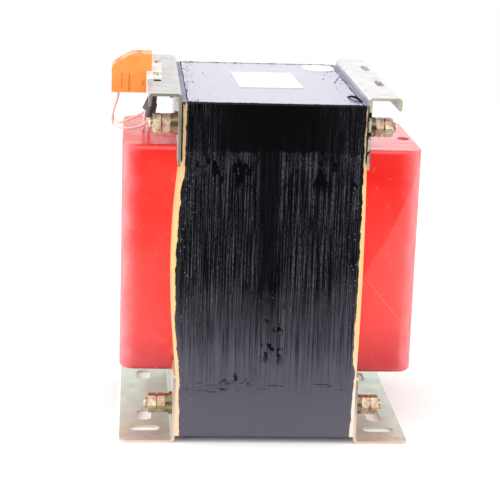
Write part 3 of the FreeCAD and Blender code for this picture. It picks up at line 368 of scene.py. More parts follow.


# %% [markdown]
# ## Two more black paints
#
# Paint that has set in thick beads is as glossy as the core's, with the same slate low down: dust and a painted
# reflection.
# Where it has dried to a crust on top of the core it is dull. The low specular level keeps
# the crust black beside the bright top, which roughness alone wouldn't.

# %% Paint in beads and crusts
bead_paint = Surface("gloss black paint set in thick beads", Roughness=0.22, IOR=1.52)
skin = bead_paint.add("TexNoise", Vector=bead_paint.place, Scale=900, Detail=3.0, Roughness=0.6)
# Slate towards the feet, as on the core: dust and a painted reflection.
bead_dust_and_painted_reflection = bead_paint.add("MapRange", Value=bead_paint.z, From_Min=0.098, From_Max=0.046)
tint = bead_paint.add("Mix", in_colour, Factor=skin, A=linear("050506"), B=linear("1d1d22"))
bead_paint.feed("Base Color", bead_paint.add("Mix", in_colour, Factor=bead_dust_and_painted_reflection, A=tint, B=linear("4b4955")))
skin_gloss = bead_paint.add("MapRange", Value=skin, From_Min=0.3, From_Max=0.7, To_Min=0.15, To_Max=0.35)
bead_paint.feed("Roughness", bead_paint.add("Math", plus, Value=[skin_gloss, bead_paint.overlap(bead_dust_and_painted_reflection, 0.2)]))
bead_paint.feed("Normal", bead_paint.add("Bump", Height=skin, Distance=0.0001, Strength=0.5))

crust = Surface("black paint dried to a dull crust", Roughness=0.8, IOR=1.4, Specular_IOR_Level=0.12)
crumble = crust.add("TexNoise", Vector=crust.place, Scale=1200, Detail=4.0, Roughness=0.7)
crust.feed("Base Color", crust.add("Mix", in_colour, Factor=crumble, A=linear("08080a"), B=linear("2c2b33")))
crust.feed("Normal", crust.add("Bump", Height=crumble, Distance=0.0001, Strength=0.6))
print("skin of %.1f mm, crumble of %.1f mm" % (1000 / 900, 1000 / 1200))


# %% [markdown]
# ## Paint laps
#
# The brush pulled paint over the corner between the core and each board, where it set as a
# ragged bead a few tenths of a millimetre thick. Each bead is a ribbon of points: it starts
# on the core's face, rises, and runs out at an edge that noise moves in and out. One table
# says how far the paint reaches past the stack's side at a few heights. A sculpted bead would
# look as good, but a table and noise can be changed with the stack.

# %% A ribbon of paint
sunk = 0.00003


def between_stops(stops, z):
    """The value at a height, on straight lines between the stops of a table."""
    for (low, first), (high, second) in zip(stops, stops[1:]):
        if z <= high:
            return first + (second - first) * max(0.0, (z - low) / (high - low))
    return stops[-1][1]


def add_piece(name, data, surface):
    """A new piece of the object, which rides on its one body."""
    data.materials.append(surface.material)
    piece = bpy.data.objects.new(name, data)
    scene.collection.objects.link(piece)
    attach(piece, "root")
    return piece


def ribbon(name, rows, surface=bead_paint):
    """A strip of faces through rows of points, each row with the same number of points."""
    points = [point for row in rows for point in row]
    width = len(rows[0])
    faces = []
    for row in range(len(rows) - 1):
        for column in range(width - 1):
            corner = row * width + column
            faces.append((corner, corner + 1, corner + width + 1, corner + width))
    mesh = bpy.data.meshes.new(name)
    mesh.from_pydata(points, [], faces)
    for face in mesh.polygons:
        face.use_smooth = True
    return add_piece(name, mesh, surface)


def unevenness(place, size, seed):
    """Smooth noise from -1 to 1 at a height, with features of a given size."""
    return noise.noise(Vector((place / size, seed * 7.3, 0.4)))


# %% [markdown]
# ## Beads down the corners
#
# The left bead reaches about a millimetre over the board all the way down. The right one
# has a notch near Z 52 mm and a lobe below it. Two sizes of unevenness, 6 mm and 2 mm, move
# its edge. The bead starts 0.7 mm in on the core, so its own edge there lies flat.

# %% Upright beads
reach_stops = {
    -1: [(0.004, 0.0006), (0.040, 0.0012), (0.080, 0.0010), (0.115, 0.0006), (0.150, 0.0008), (0.165, 0.0006),
         (0.196, 0.0002)],
    1: [(0.004, 0.0009), (0.030, 0.0012), (0.042, 0.0020), (0.052, 0.0002), (0.090, 0.0004), (0.115, 0.0009),
        (0.150, 0.0012), (0.168, 0.0012), (0.196, 0.0013)],
}


def upright_bead(name, side, face, seed):
    """Paint down the corner between the core and a board, on the front or the rear face."""
    outward = 1 if face > 0 else -1
    rows = []
    steps = 260
    for step in range(steps + 1):
        z = core_base + (core_top - core_base) * step / steps
        side_x = stack_side(side, z)
        reach = between_stops(reach_stops[side], z)
        reach += 0.0006 * unevenness(z, 0.006, seed) + 0.0004 * unevenness(z, 0.0018, seed + 1)
        thick = 0.00022 + 0.00016 * abs(unevenness(z, 0.003, seed + 2))
        profile = [(-0.0007, -sunk), (-0.0003, thick * 0.4), (reach - 0.0006, thick),
                   (reach - 0.0002, thick * 0.8), (reach, -sunk)]
        rows.append([(side * (side_x + away), face + outward * up, z) for away, up in profile])
    return ribbon(name, rows)


print("beads reach up to %.1f mm over the boards" % (
    max(reach for stops in reach_stops.values() for _, reach in stops) * 1000))


# %% [markdown]
# ## Lines, burrs, crumbs and a drip
#
# On top, a thin broken line of crust marks each joint between core and board. A burr hangs
# along the front and rear edges, and crumbs of paint lie beside the brackets. The lines and
# burrs are ribbons too. The crumbs are small spheres that noise has swollen, all in one
# mesh. One thick drip has set in a curl near the front right corner: a curve with a round
# bevel, thinner towards both ends.

# %% Crust on top of the core
def top_bead(name, side, seed):
    """A thin broken line of paint along the joint between the core's top and a board's."""
    rows = []
    steps = 420
    for step in range(steps + 1):
        y = front + (rear - front) * step / steps
        centre = 0.0003 * unevenness(y, 0.006, seed) - 0.0002
        half = max(0.0, 0.00030 + 0.00045 * unevenness(y, 0.0025, seed + 1))
        thick = 0.00025 * min(1.0, half / 0.0002)
        profile = [(centre - half, -sunk), (centre, thick - sunk), (centre + half, -sunk)]
        rows.append([(side * (stack + away), y, core_top + up) for away, up in profile])
    return ribbon(name, rows, crust)


def edge_burr(name, face, seed):
    """A burr of paint along the top edge of the front or the rear face."""
    outward = 1 if face > 0 else -1
    rows = []
    steps = 420
    for step in range(steps + 1):
        x = -stack + 2 * stack * step / steps
        inward = 0.0004 + 0.0016 * max(0.0, unevenness(x, 0.0025, seed))
        thick = 0.00012 + 0.0004 * max(0.0, unevenness(x, 0.0013, seed + 1))
        profile = [(-inward, -sunk), (-inward * 0.5, thick), (0.0001, thick * 0.5), (0.0002, -0.0004),
                   (-sunk, -0.0010)]
        rows.append([(x, face + outward * away, core_top + up) for away, up in profile])
    return ribbon(name, rows, crust)


def crumbs(name, places, seed):
    """Small uneven lumps of set paint, all in one mesh."""
    chance = random.Random(seed)
    shape = bmesh.new()
    for x, y, size in places:
        start = len(shape.verts)
        bmesh.ops.create_icosphere(shape, subdivisions=2, radius=1.0)
        shape.verts.ensure_lookup_table()
        long, broad, high = (size * chance.uniform(0.7, 1.6), size * chance.uniform(0.7, 2.2),
                             size * chance.uniform(0.35, 0.7))
        for vertex in list(shape.verts)[start:]:
            swollen = vertex.co * (1 + 0.35 * noise.noise(vertex.co * 1.4 + Vector((x, y, seed)) * 900))
            vertex.co = (x + swollen.x * long, y + swollen.y * broad, core_top + swollen.z * high)
    mesh = bpy.data.meshes.new(name)
    shape.to_mesh(mesh)
    shape.free()
    for face in mesh.polygons:
        face.use_smooth = True
    return add_piece(name, mesh, crust)


def drip(name, stops, radius):
    """A drip of paint: a tube through a few points, each with a share of the radius."""
    curve = bpy.data.curves.new(name, "CURVE")
    curve.dimensions = "3D"
    curve.bevel_depth = radius
    curve.bevel_resolution = 4
    curve.use_fill_caps = True
    spline = curve.splines.new("NURBS")
    spline.points.add(len(stops) - 1)
    for point, stop in zip(spline.points, stops):
        point.co = (*stop[:3], 1.0)
        point.radius = stop[3]
    spline.use_endpoint_u = True
    spline.order_u = 3
    spline.resolution_u = 8
    return add_piece(name, curve, crust)


# %% [markdown]
# ## All the paint laid on
#
# Each piece of paint has its own seed, so no two edges are alike. The crumbs lie thickest
# beside the brackets, 34 a side, and five larger ones lie where the photograph shows them.

# %% Lay the paint on
laid = []
for side, word in ((-1, "left"), (1, "right")):
    laid.append(upright_bead("paint_bead_front_" + word, side, front, 3 + side))
    laid.append(upright_bead("paint_bead_rear_" + word, side, rear, 13 + side))
    laid.append(top_bead("paint_bead_top_" + word, side, 23 + side))
laid.append(edge_burr("paint_burr_front", front, 41))
laid.append(edge_burr("paint_burr_rear", rear, 43))

crumbs_a_side, large_crumb = 34, 0.0006
chance = random.Random(11)
lying = []
for side in (-1, 1):
    for _ in range(crumbs_a_side):
        inward = abs(chance.gauss(0, 0.0035)) + 0.0008
        size = chance.uniform(0.00018, 0.00045)
        lying.append((side * (stack - inward), chance.uniform(front + 0.001, rear - 0.001), size))
for x, y in ((-0.0462, -0.0772), (-0.0440, -0.0785), (-0.0425, -0.0762), (0.0418, 0.0035), (0.0361, 0.0168)):
    lying.append((x, y, large_crumb))
laid.append(crumbs("paint_crumbs", lying, 5))
laid.append(drip("paint_curl", [
    (0.0425, -0.0515, core_top + 0.0001, 0.5), (0.0440, -0.0540, core_top + 0.0010, 1.0),
    (0.0462, -0.0590, core_top + 0.0012, 1.1), (0.0478, -0.0650, core_top + 0.0006, 1.0),
    (0.0484, -0.0700, core_top + 0.0001, 0.6)], 0.0007))
print(len(laid), "pieces of paint,", len(lying), "crumbs in one of them")


# %% [markdown]
# ## Cast resin: reds
#
# The coil is potted in red epoxy, cast in a polished mould. The pigment lets a little light
# in, which a small amount of subsurface scattering gives. The red clouds over about 40 mm
# and pales lower down. On the right front a paler red starts at a slanting, slightly bowed
# line: a painted reflection, made as a mask from X and Z, so it stays where it is from every
# side.

# %% Reds of the resin
resin_low, resin_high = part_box("resin_block")
resin = Surface("red epoxy cast in a polished mould", Roughness=0.2, IOR=1.55,
                Subsurface_Weight=0.08, Subsurface_Scale=0.004, Subsurface_Radius=(1.0, 0.25, 0.15))
cloud = resin.add("TexNoise", Vector=resin.place, Scale=26, Detail=4.0, Roughness=0.55)
pale_low = resin.add("MapRange", Value=resin.z, From_Min=0.150, From_Max=0.040, To_Max=0.6)
# The line: X + 0.24 d + 2.8 d squared = 87 mm, where d is the depth below Z 161 mm.
below_top = resin.add("Math", minus, Value=[0.161, resin.z])
bowed = resin.add("Math", plus, Value=[resin.overlap(below_top, 2.8), 0.24])
fine = resin.add("TexNoise", Vector=resin.place, Scale=110, Detail=3.0, Roughness=0.6)
waver = resin.add("MapRange", Value=fine, From_Min=0.3, From_Max=0.7, To_Min=-0.0012, To_Max=0.0012)
painted_reflection_line = resin.add("Math", plus, Value=[
    resin.add("Math", plus, Value=[resin.x, waver]), resin.overlap(below_top, bowed)])
# Paler red right of the line: a painted reflection.
painted_reflection_side = resin.add("MapRange", Value=painted_reflection_line, From_Min=0.0868, From_Max=0.0874, To_Max=0.75)
red = resin.add("Mix", in_colour, A=linear("e61f16"), B=linear("f02e26"),
                Factor=resin.add("MapRange", Value=cloud, From_Min=0.35, From_Max=0.68))
red = resin.add("Mix", in_colour, A=red, B=linear("f65450"),
                Factor=resin.add("Math", larger, Value=[pale_low, painted_reflection_side]))
print("resin from X %.1f to %.1f mm" % (resin_low[0] * 1000, resin_high[0] * 1000))


# %% [markdown]
# ## Cast resin: a blister
#
# One blister in the poured top on the right has a floor that faces the front. It is an
# ellipse of 7 by 10 mm: the distances along X and Y are each divided by the half axis before
# they are squared, so that the sum is a distance in an even scale. A bump tilts its floor.
# The resin's lowest 36 mm darken towards crimson in the same way, by a mask from Z: painted shade along the
# bottom edge.

# %% Blister
blister_half_x, blister_half_y, even_half = 0.0034, 0.0050, 0.0006
blister_x = resin.add("Math", multiply, Value=[
    resin.add("Math", minus, Value=[resin.x, 0.0822]), even_half / blister_half_x])
blister_y = resin.add("Math", multiply, Value=[
    resin.add("Math", plus, Value=[resin.y, 0.0105]), even_half / blister_half_y])
from_blister = resin.add("Math", root, Value=[
    resin.add("Math", plus, Value=[resin.overlap(blister_x, blister_x), resin.overlap(blister_y, blister_y)])])
blister = resin.overlap(resin.add("MapRange", Value=from_blister, From_Min=0.00064, From_Max=0.00056),
                        resin.add("MapRange", Value=resin.z, From_Min=0.1645, From_Max=0.1652))
red = resin.add("Mix", in_colour, Factor=blister, A=red, B=linear("d01018"))
# Darker crimson towards the bottom: painted shade.
painted_shade_low = resin.add("MapRange", Value=resin.z, From_Min=0.0700, From_Max=0.0340, To_Max=0.8)
red = resin.add("Mix", in_colour, Factor=painted_shade_low, A=red, B=linear("b4303c"))
print("blister %.1f by %.1f mm" % (blister_half_x * 2000, blister_half_y * 2000))


# %% [markdown]
# ## Cast resin: painted highlights
#
# A pale pink painted highlight lies on the upright edges, along the rim, and over the whole
# poured top on the right, where the rounded edges and the top catch the lamps. It thins out
# over 14 mm from the outer edges. It is kept to the edges, because the broad side faces are
# as red as the front.

# %% Painted highlights
edge_left, edge_right = -resin_low[0], resin_high[0]
middle_y, half_y = (resin_low[1] + resin_high[1]) / 2, (resin_high[1] - resin_low[1]) / 2
fine = resin.add("TexNoise", Vector=resin.place, Scale=70, Detail=3.0, Roughness=0.6)
waver = resin.add("MapRange", Value=fine, From_Min=0.3, From_Max=0.7, To_Min=-0.002, To_Max=0.002)
outwards = resin.add("Math", plus, Value=[resin.add("Math", without_sign, Value=[resin.x]), waver])
# Pale pink on the edges, the rim and the poured top: a painted highlight.
painted_highlight_start, painted_highlight_full = 0.0145, 0.0010
painted_highlight_left = resin.add("MapRange", Value=outwards,
                       From_Min=edge_left - painted_highlight_start, From_Max=edge_left - painted_highlight_full)
painted_highlight_right = resin.overlap(
    resin.add("MapRange", Value=outwards, From_Min=edge_right - painted_highlight_start, From_Max=edge_right - painted_highlight_full),
    resin.add("MapRange", Value=outwards, From_Min=edge_right - 0.0030, From_Max=edge_right, To_Min=1.0,
              To_Max=0.5))
left_of_core = resin.add("MapRange", Value=resin.x, From_Min=0.001, From_Max=-0.001)
painted_highlight = resin.add("Mix", {"data_type": "FLOAT"}, Factor=left_of_core, A=painted_highlight_right, B=painted_highlight_left)
from_middle_y = resin.add("Math", without_sign, Value=[resin.add("Math", minus, Value=[resin.y, middle_y])])
upright_edges = resin.add("MapRange", Value=from_middle_y, From_Min=half_y - 0.0110, From_Max=half_y - 0.0030)
rim = resin.overlap(resin.band(resin.z, 0.1646, 0.0004, 0.0014), 0.4)
poured = resin.add("MapRange", Value=resin.z, From_Min=0.1652, From_Max=0.1656)
right_of_core = resin.add("MapRange", Value=resin.x, From_Min=-0.001, From_Max=0.001)
painted_glare_top = resin.overlap(poured, right_of_core, 0.7)
painted_highlight = resin.add("Math", larger, Value=[resin.overlap(painted_highlight, painted_highlight, upright_edges, 0.6), rim])
painted_highlight = resin.overlap(resin.add("Math", larger, Value=[painted_highlight, painted_glare_top]),
                      resin.add("Math", minus, Value=[1.0, blister]))
red = resin.add("Mix", in_colour, Factor=painted_highlight, A=red, B=linear("f8949a"))
print("bloom over the outer %.1f mm" % (painted_highlight_start * 1000))


# %% [markdown]
# ## Cast resin: handling marks, gloss and relief
#
# Handling left pale scuffs, small chips and one long scratch down the right front, which
# follows the line 0.775 X + 0.634 Z = 102.6 mm. Two sets of hair-thin scratches, level and
# upright, are only relief; a real one is 0.05 mm wide, and these are drawn 0.4 to 0.7 mm
# wide so that they show. The poured top has the ripple of resin that set in the open.

# %% Marks on the resin
scuffs = resin.add("MapRange", From_Min=0.60, From_Max=0.74,
                   Value=resin.add("TexNoise", Vector=resin.place, Scale=140, Detail=6.0, Roughness=0.75))
slant = resin.add("Math", plus, Value=[resin.overlap(resin.x, 0.775), resin.overlap(resin.z, 0.634)])
shake = resin.add("MapRange", From_Min=0.3, From_Max=0.7, To_Min=-0.0003, To_Max=0.0003,
                  Value=resin.add("TexNoise", Vector=resin.place, Scale=300, Detail=3.0))
long_scratch = resin.overlap(resin.band(resin.add("Math", plus, Value=[slant, shake]), 0.1026, 0.0001, 0.0004),
                             resin.band(resin.x, 0.0695, 0.0080, 0.0105), 0.3)
chips = resin.overlap(resin.add("MapRange", From_Min=0.040, From_Max=0.022,
                                Value=resin.add("TexVoronoi", Vector=resin.place, Scale=95)), 0.6)
marks = resin.add("Math", larger, Value=[
    resin.overlap(scuffs, 0.35), resin.add("Math", larger, Value=[long_scratch, chips])])
resin.feed("Base Color", resin.add("Mix", in_colour, Factor=marks, A=red, B=linear("f7a098")))
resin.feed("Roughness", resin.add("MapRange", Value=cloud, From_Min=0.3, From_Max=0.75,
                                  To_Min=0.18, To_Max=0.34))
meniscus = resin.add("TexNoise", Scale=1.0, Detail=4.0, Roughness=0.6,
                     Vector=resin.add("Mapping", Vector=resin.place, Scale=(70, 260, 70)))
relief = resin.add("Bump", Height=resin.overlap(meniscus, poured), Distance=0.0012, Strength=0.7)
relief = resin.add("Bump", Height=cloud, Distance=0.0012, Strength=0.25, Normal=relief)
relief = resin.add("Bump", Height=resin.overlap(blister, resin.y), Distance=0.5, Strength=1.0, Normal=relief)
for stretch, twist, low, high in (((60, 60, 2400), 0.6, 0.66, 0.74), ((1500, 1500, 50), 0.4, 0.68, 0.76)):
    hairs = resin.add("TexNoise", Scale=1.0, Detail=2.0, Roughness=0.5, Distortion=twist,
                      Vector=resin.add("Mapping", Vector=resin.place, Scale=stretch))
    hairs = resin.add("MapRange", Value=hairs, From_Min=low, From_Max=high)
    relief = resin.add("Bump", Height=hairs, Distance=0.00005, Strength=0.35, Normal=relief)
resin.feed("Normal", relief)
dress(resin, "resin_block")


# %% [markdown]
# ## Plated steel
#
# The brackets are mild steel sheet, zinc plated and passivated. The passivation is a film
# thin enough to show interference colours, so its tint drifts between straw, rose and pale
# green over centimetres. A row of tints on a slow noise gives that drift, and a thin film
# would give the same with less control. Sheet metal also keeps fine rolling lines, about
# 0.6 mm apart, and dull marks. The film takes some of the metal's shine away, so the sheets
# are a little less than fully metallic.

# %% A plated finish
def plated(name, tints, roughness, spread, lines, metallic=1.0):
    """Zinc plate whose tint drifts: spread and lines are features a metre on each axis."""
    surface = Surface(name, Metallic=metallic, Roughness=roughness)
    drift = surface.add("TexNoise", Scale=1.0, Detail=3.0, Roughness=0.55, Distortion=0.8,
                        Vector=surface.add("Mapping", Vector=surface.place, Scale=spread))
    drift = surface.add("MapRange", Value=drift, From_Min=0.28, From_Max=0.72)
    tinted = surface.add("ValToRGB", Fac=drift)
    stops = tinted.node.color_ramp.elements
    stops[0].color = linear(tints[0])
    stops[1].color = linear(tints[-1])
    for index in range(1, len(tints) - 1):
        stops.new(index / (len(tints) - 1)).color = linear(tints[index])
    marks = surface.add("TexNoise", Vector=surface.place, Scale=90, Detail=5.0, Roughness=0.7)
    rolled = surface.add("TexNoise", Scale=1.0, Detail=3.0, Roughness=0.6,
                         Vector=surface.add("Mapping", Vector=surface.place, Scale=lines))
    stain = surface.add("MapRange", Value=marks, From_Min=0.55, From_Max=0.78, To_Max=0.5)
    surface.tint = surface.add("Mix", in_colour, Factor=stain, A=tinted, B=linear("9c8f7c"))
    surface.feed("Base Color", surface.tint)
    surface.feed("Roughness", surface.add("MapRange", Value=marks, From_Min=0.3, From_Max=0.75,
                                          To_Min=roughness - 0.08, To_Max=roughness + 0.16))
    relief = surface.add("Bump", Height=rolled, Distance=0.00003, Strength=0.5)
    surface.feed("Normal", surface.add("Bump", Height=marks, Distance=0.00012, Strength=0.3, Normal=relief))
    return surface


sheet_shine = 0.72


# %% [markdown]
# ## Foot brackets
#
# The feet show the strongest colours: straw and rose at the front, greener up the leg and
# towards the back. A few tan drawing lines run along X, and the sheared front edge is pink.
# Each is a mask over the common plate, from Y and Z, so both feet share one material.

# %% Feet
foot_plating = plated("zinc plated steel sheet with iridescent passivation",
                      ["d4cfb4", "bad2c4", "d8c2b4", "c6d6c8", "dccaa8", "bed0c2"],
                      0.36, (14, 46, 30), (40, 1600, 1600), sheet_shine)
up_leg = foot_plating.add("MapRange", Value=foot_plating.z, From_Min=0.004, From_Max=0.010, To_Max=0.5)
to_back = foot_plating.add("MapRange", Value=foot_plating.y, From_Min=-0.064, From_Max=-0.046, To_Max=0.6)
greener = foot_plating.add("Math", larger, Value=[up_leg, to_back])
drawn = foot_plating.add("TexNoise", Scale=1.0, Detail=2.0, Roughness=0.5,
                         Vector=foot_plating.add("Mapping", Vector=foot_plating.place, Scale=(14, 700, 700)))
drawn = foot_plating.add("MapRange", Value=drawn, From_Min=0.64, From_Max=0.72, To_Max=0.6)
sheared = foot_plating.overlap(foot_plating.band(foot_plating.y, foot_low[1], 0.0003, 0.0006), 0.6)
tint = foot_plating.tint
for mask, code in ((greener, "cbdacf"), (drawn, "a59a74"), (sheared, "e6b8a6")):
    tint = foot_plating.add("Mix", in_colour, Factor=mask, A=tint, B=linear(code))
foot_plating.feed("Base Color", tint)
dress(foot_plating, "foot_bracket_left", "foot_bracket_right")


# %% [markdown]
# ## Top brackets
#
# The top brackets are plainer and nearly white. The left one is a darker copy of the same
# finish, with darker cut edges: painted shade. Their legs' front cut edges are bare and straw
# coloured, and black paint from the core is smeared over them in patches, just where the
# brush reached.

# %% Top brackets
left_plating_in_painted_shade = plated("zinc plated steel sheet with clear passivation, dulled",
                      ["c6c4c4", "bec0c1", "c8c4c4", "c0c2c1"],
                      0.38, (30, 30, 30), (1600, 40, 1600), sheet_shine)
right_plating = plated("zinc plated steel sheet with clear passivation",
                       ["dedcdd", "d6d8d9", "e0dcdd", "d8dad9"],
                       0.38, (30, 30, 30), (1600, 40, 1600), sheet_shine)
# The left copy and its cut edge colour are darker: painted shade.
for plating, edge_colour, bracket in ((left_plating_in_painted_shade, "a8a184", "top_bracket_left"),
                                      (right_plating, "efe4bc", "top_bracket_right")):
    smear = plating.add("TexNoise", Scale=1.0, Detail=5.0, Roughness=0.75,
                        Vector=plating.add("Mapping", Vector=plating.place, Scale=(500, 500, 120)))
    wander = plating.add("MapRange", Value=smear, From_Min=0.3, From_Max=0.7, To_Min=-0.005, To_Max=0.005)
    smear_height = plating.add("Math", plus, Value=[plating.z, wander])
    cut_edge = plating.add("MapRange", Value=plating.y,
                           From_Min=leg_low[1] + 0.0004, From_Max=leg_low[1] + 0.0002)
    on_leg = plating.band(plating.x, stack + board_sheet, 0.0030, 0.0034)
    patchy = plating.add("TexNoise", Scale=1.0, Detail=3.0, Roughness=0.6,
                         Vector=plating.add("Mapping", Vector=plating.place, Scale=(200, 200, 160)))
    smeared = plating.overlap(cut_edge, on_leg,
                              plating.add("MapRange", Value=smear_height, From_Min=0.166, From_Max=0.169),
                              plating.add("MapRange", Value=patchy, From_Min=0.53, From_Max=0.57))
    tint = plating.add("Mix", in_colour, Factor=plating.overlap(cut_edge, 0.7), A=plating.tint,
                       B=linear(edge_colour))
    plating.feed("Base Color", plating.add("Mix", in_colour, Factor=smeared, A=tint, B=linear("141416")))
    dress(plating, bracket)


# %% [markdown]
# ## Fasteners
#
# Nuts, studs and screws are cut from bar and plated in a barrel. Their straw and rose tints
# change within a nut, about every 9 mm. The washers have dulled to brown. The function for
# the sheets serves here too, with finer patterns and no loss of metal shine.

# %% Nuts, studs, screws and washers
fastener_plating = plated("zinc plated steel fasteners with rose and straw passivation",
                          ["c4be90", "e2debc", "ba927c", "e0ccb8", "a8a880"],
                          0.30, (110, 110, 110), (900, 60, 900))
washer_plating = plated("zinc plated steel washers, dulled brown",
                        ["9c8f66", "8f8470", "a8976c", "85795c"], 0.34, (150, 150, 150), (900, 60, 900))
dress(washer_plating, "flat_washers_left", "flat_washers_right", "spring_washers_left", "spring_washers_right")
dress(fastener_plating, "stud_top_front", "stud_top_rear", "stud_bottom_front", "stud_bottom_rear",
      "clamp_nuts_left", "clamp_nuts_right", "lock_nuts_left", "lock_nuts_right",
      "strip_screws", "strip_nuts", "clamp_screws")


# %% [markdown]
# ## Stud threads
#
# Only the last turns of each stud's thread stand out of its lock nut. They are a helix with
# a triangular ridge, one millimetre a turn, wound onto the CAD stud's end. The ridge rises
# from nothing and sinks again over eight steps, as a cut thread runs out.

# %% Threads
stud_radius = 0.003
thread_pitch = 0.001
first_turn = 0.0010
ridge_half, ridge_rise, ridge_root = 0.00034, 0.00012, stud_radius - 0.00004


def thread(name, stud, side, turns):
    """A ridge that winds in from near a stud's end."""
    low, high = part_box(stud)
    end_x = high[0] if side > 0 else low[0]
    middle_y = (low[1] + high[1]) / 2
    middle_z = (low[2] + high[2]) / 2
    rows = []
    per_turn, run_out = 28, 8
    for step in range(int(turns * per_turn) + 1):
        angle = 2 * math.pi * step / per_turn
        x = end_x - side * (first_turn + thread_pitch * step / per_turn)
        fade = min(1.0, step / run_out, (turns * per_turn - step) / run_out)
        crest = stud_radius + ridge_rise * fade
        row = []
        for shift, radius in ((-ridge_half, ridge_root), (0.0, crest), (ridge_half, ridge_root)):
            row.append((x + shift, middle_y + radius * math.cos(angle), middle_z + radius * math.sin(angle)))
        rows.append(row)
    return ribbon(name, rows, fastener_plating)


threads = []
for corner in ("top_front", "top_rear", "bottom_front", "bottom_rear"):
    for side, word in ((-1, "left"), (1, "right")):
        threads.append(thread("thread_%s_%s" % (corner, word), "stud_" + corner, side, 1.1))
print(len(threads), "thread ends of", len(threads[0].data.polygons), "faces each")


# %% [markdown]
# ## Terminal block, strip, sleeves and leads
#
# The terminal block is moulded polyamide: even in colour, slightly see-through at its thin
# walls, and a little matt from the mould. The strip under it is white nylon. The leads have
# pale pink silicone over their strands, and their splices sit in soft black vinyl sleeves.
# The label is bare film. All five are plastics, so one function makes them. A mould's matt
# has grains of a few hundredths of a millimetre, drawn at 0.4 to 1 mm so that they show.

# %% Plastics
def moulded(name, low, high, roughness, scatter, grain):
    """Plastic whose colour drifts between two near tints, with a fine matt grain."""
    surface = Surface(name, Roughness=roughness, IOR=1.5, Subsurface_Weight=scatter, Subsurface_Scale=0.002)
    flow = surface.add("TexNoise", Vector=surface.place, Scale=140, Detail=3.0, Roughness=0.5)
    texture = surface.add("TexNoise", Vector=surface.place, Scale=grain, Detail=3.0, Roughness=0.6)
    surface.feed("Base Color", surface.add("Mix", in_colour, Factor=flow, A=linear(low), B=linear(high)))
    surface.feed("Roughness", surface.add("MapRange", Value=texture, From_Min=0.3, From_Max=0.7,
                                          To_Min=roughness - 0.07, To_Max=roughness + 0.1))
    surface.feed("Normal", surface.add("Bump", Height=texture, Distance=0.00003, Strength=0.5))
    return surface


dress(moulded("orange polyamide moulded against a fine matt", "f08a3c", "ff9a4c", 0.36, 0.2, 2600),
      "terminal_end_plate", "terminal_pole_1", "terminal_pole_2")
dress(moulded("white nylon moulding", "dcdad2", "ebe9e2", 0.4, 0.15, 1800), "terminal_strip")
dress(moulded("soft black vinyl moulding", "2a2426", "4a3f42", 0.38, 0.02, 1500),
      "splice_sleeve_1", "splice_sleeve_2")
dress(moulded("pale pink silicone lead insulation", "e8b0a8", "f8d4cc", 0.34, 0.2, 1500),
      "terminal_lead_1", "terminal_lead_2", "coil_tail_1", "coil_tail_2")
dress(moulded("bare white label film, matt laminated", "dcdcde", "ececee", 0.45, 0.0, 900),
      "blank_label", "blank_sticker")


# %% [markdown]
# ## Brass in the terminals
#
# The clamp cages and contact bars are machined brass with a nickel flash, which leaves it a
# pale straw. Machining marks about 0.3 mm apart lie level on them, as noise that is
# squeezed along Z; cut grooves would be too fine to see.

# %% Brass
brass = Surface("machined nickel brass", Metallic=1.0, Roughness=0.3)
turning = brass.add("TexNoise", Scale=1.0, Detail=2.0, Roughness=0.5,
                    Vector=brass.add("Mapping", Vector=brass.place, Scale=(300, 300, 3000)))
brass.feed("Base Color", brass.add("Mix", in_colour, Factor=turning, A=linear("b49a5c"), B=linear("d8c48a")))
brass.feed("Normal", brass.add("Bump", Height=turning, Distance=0.00002, Strength=0.4))
dress(brass, "clamp_cages", "contact_bars")


# %% [markdown]
# ## Inside the resin
#
# The coil can't be seen, but a viewer who takes the resin off should find windings. The
# copper is laid in turns side by side along Y, so a wave along Y gives each layer its
# wires: 1.4 mm for the primary, 0.4 mm for the secondary. Blender's wave repeats every
# pi / 10 of its scaled length, so that divided by the wire is the scale. Film and paper
# hold the layers.

# %% Coil
def wound(name, wire, low, high):
    """Enamelled wire laid side by side along Y: the enamel is a clear coat."""
    surface = Surface(name, Metallic=0.9, Roughness=0.3, Coat_Weight=0.6)
    turns = surface.add("TexWave", {"wave_type": "BANDS", "bands_direction": "Y"},
                        Vector=surface.place, Scale=math.pi / 10 / wire, Distortion=0.3).node.outputs["Fac"]
    surface.feed("Base Color", surface.add("Mix", in_colour, Factor=turns, A=linear(low), B=linear(high)))
    surface.feed("Normal", surface.add("Bump", Height=turns, Distance=wire / 3, Strength=1.0))
    return surface


def layered(name, low, high, roughness):
    """Film or fibre with a weave along Y."""
    surface = Surface(name, Roughness=roughness, IOR=1.5)
    weave = surface.add("TexNoise", Scale=1.0, Detail=4.0, Roughness=0.7,
                        Vector=surface.add("Mapping", Vector=surface.place, Scale=(60, 900, 60)))
    surface.feed("Base Color", surface.add("Mix", in_colour, Factor=weave, A=linear(low), B=linear(high)))
    surface.feed("Normal", surface.add("Bump", Height=weave, Distance=0.0001, Strength=0.5))
    return surface


dress(wound("enamelled copper wire of 1.4 mm", 0.0014, "6e2f14", "c06a3a"), "primary_winding")
dress(wound("enamelled copper wire of 0.4 mm", 0.0004, "7a3a1a", "c87a48"), "secondary_winding")
dress(layered("polyester film wrap", "b99a4e", "dcc27a", 0.25), "winding_barrier", "outer_wrap")
dress(layered("glass-filled nylon former", "1c1c1e", "343436", 0.5), "coil_former")


# %% [markdown]
# ## Camera
#
# The camera stands where the photograph's did: about 0.97 m from the core's middle, a little
# to the left and 0.34 m up, looking slightly down with a long lens. Its place, turn and lens
# came from fitting the CAD model's corners to the photograph, which is surer than by eye.
# Three directions at right angles make its rotation, so no angle order has to be chosen.

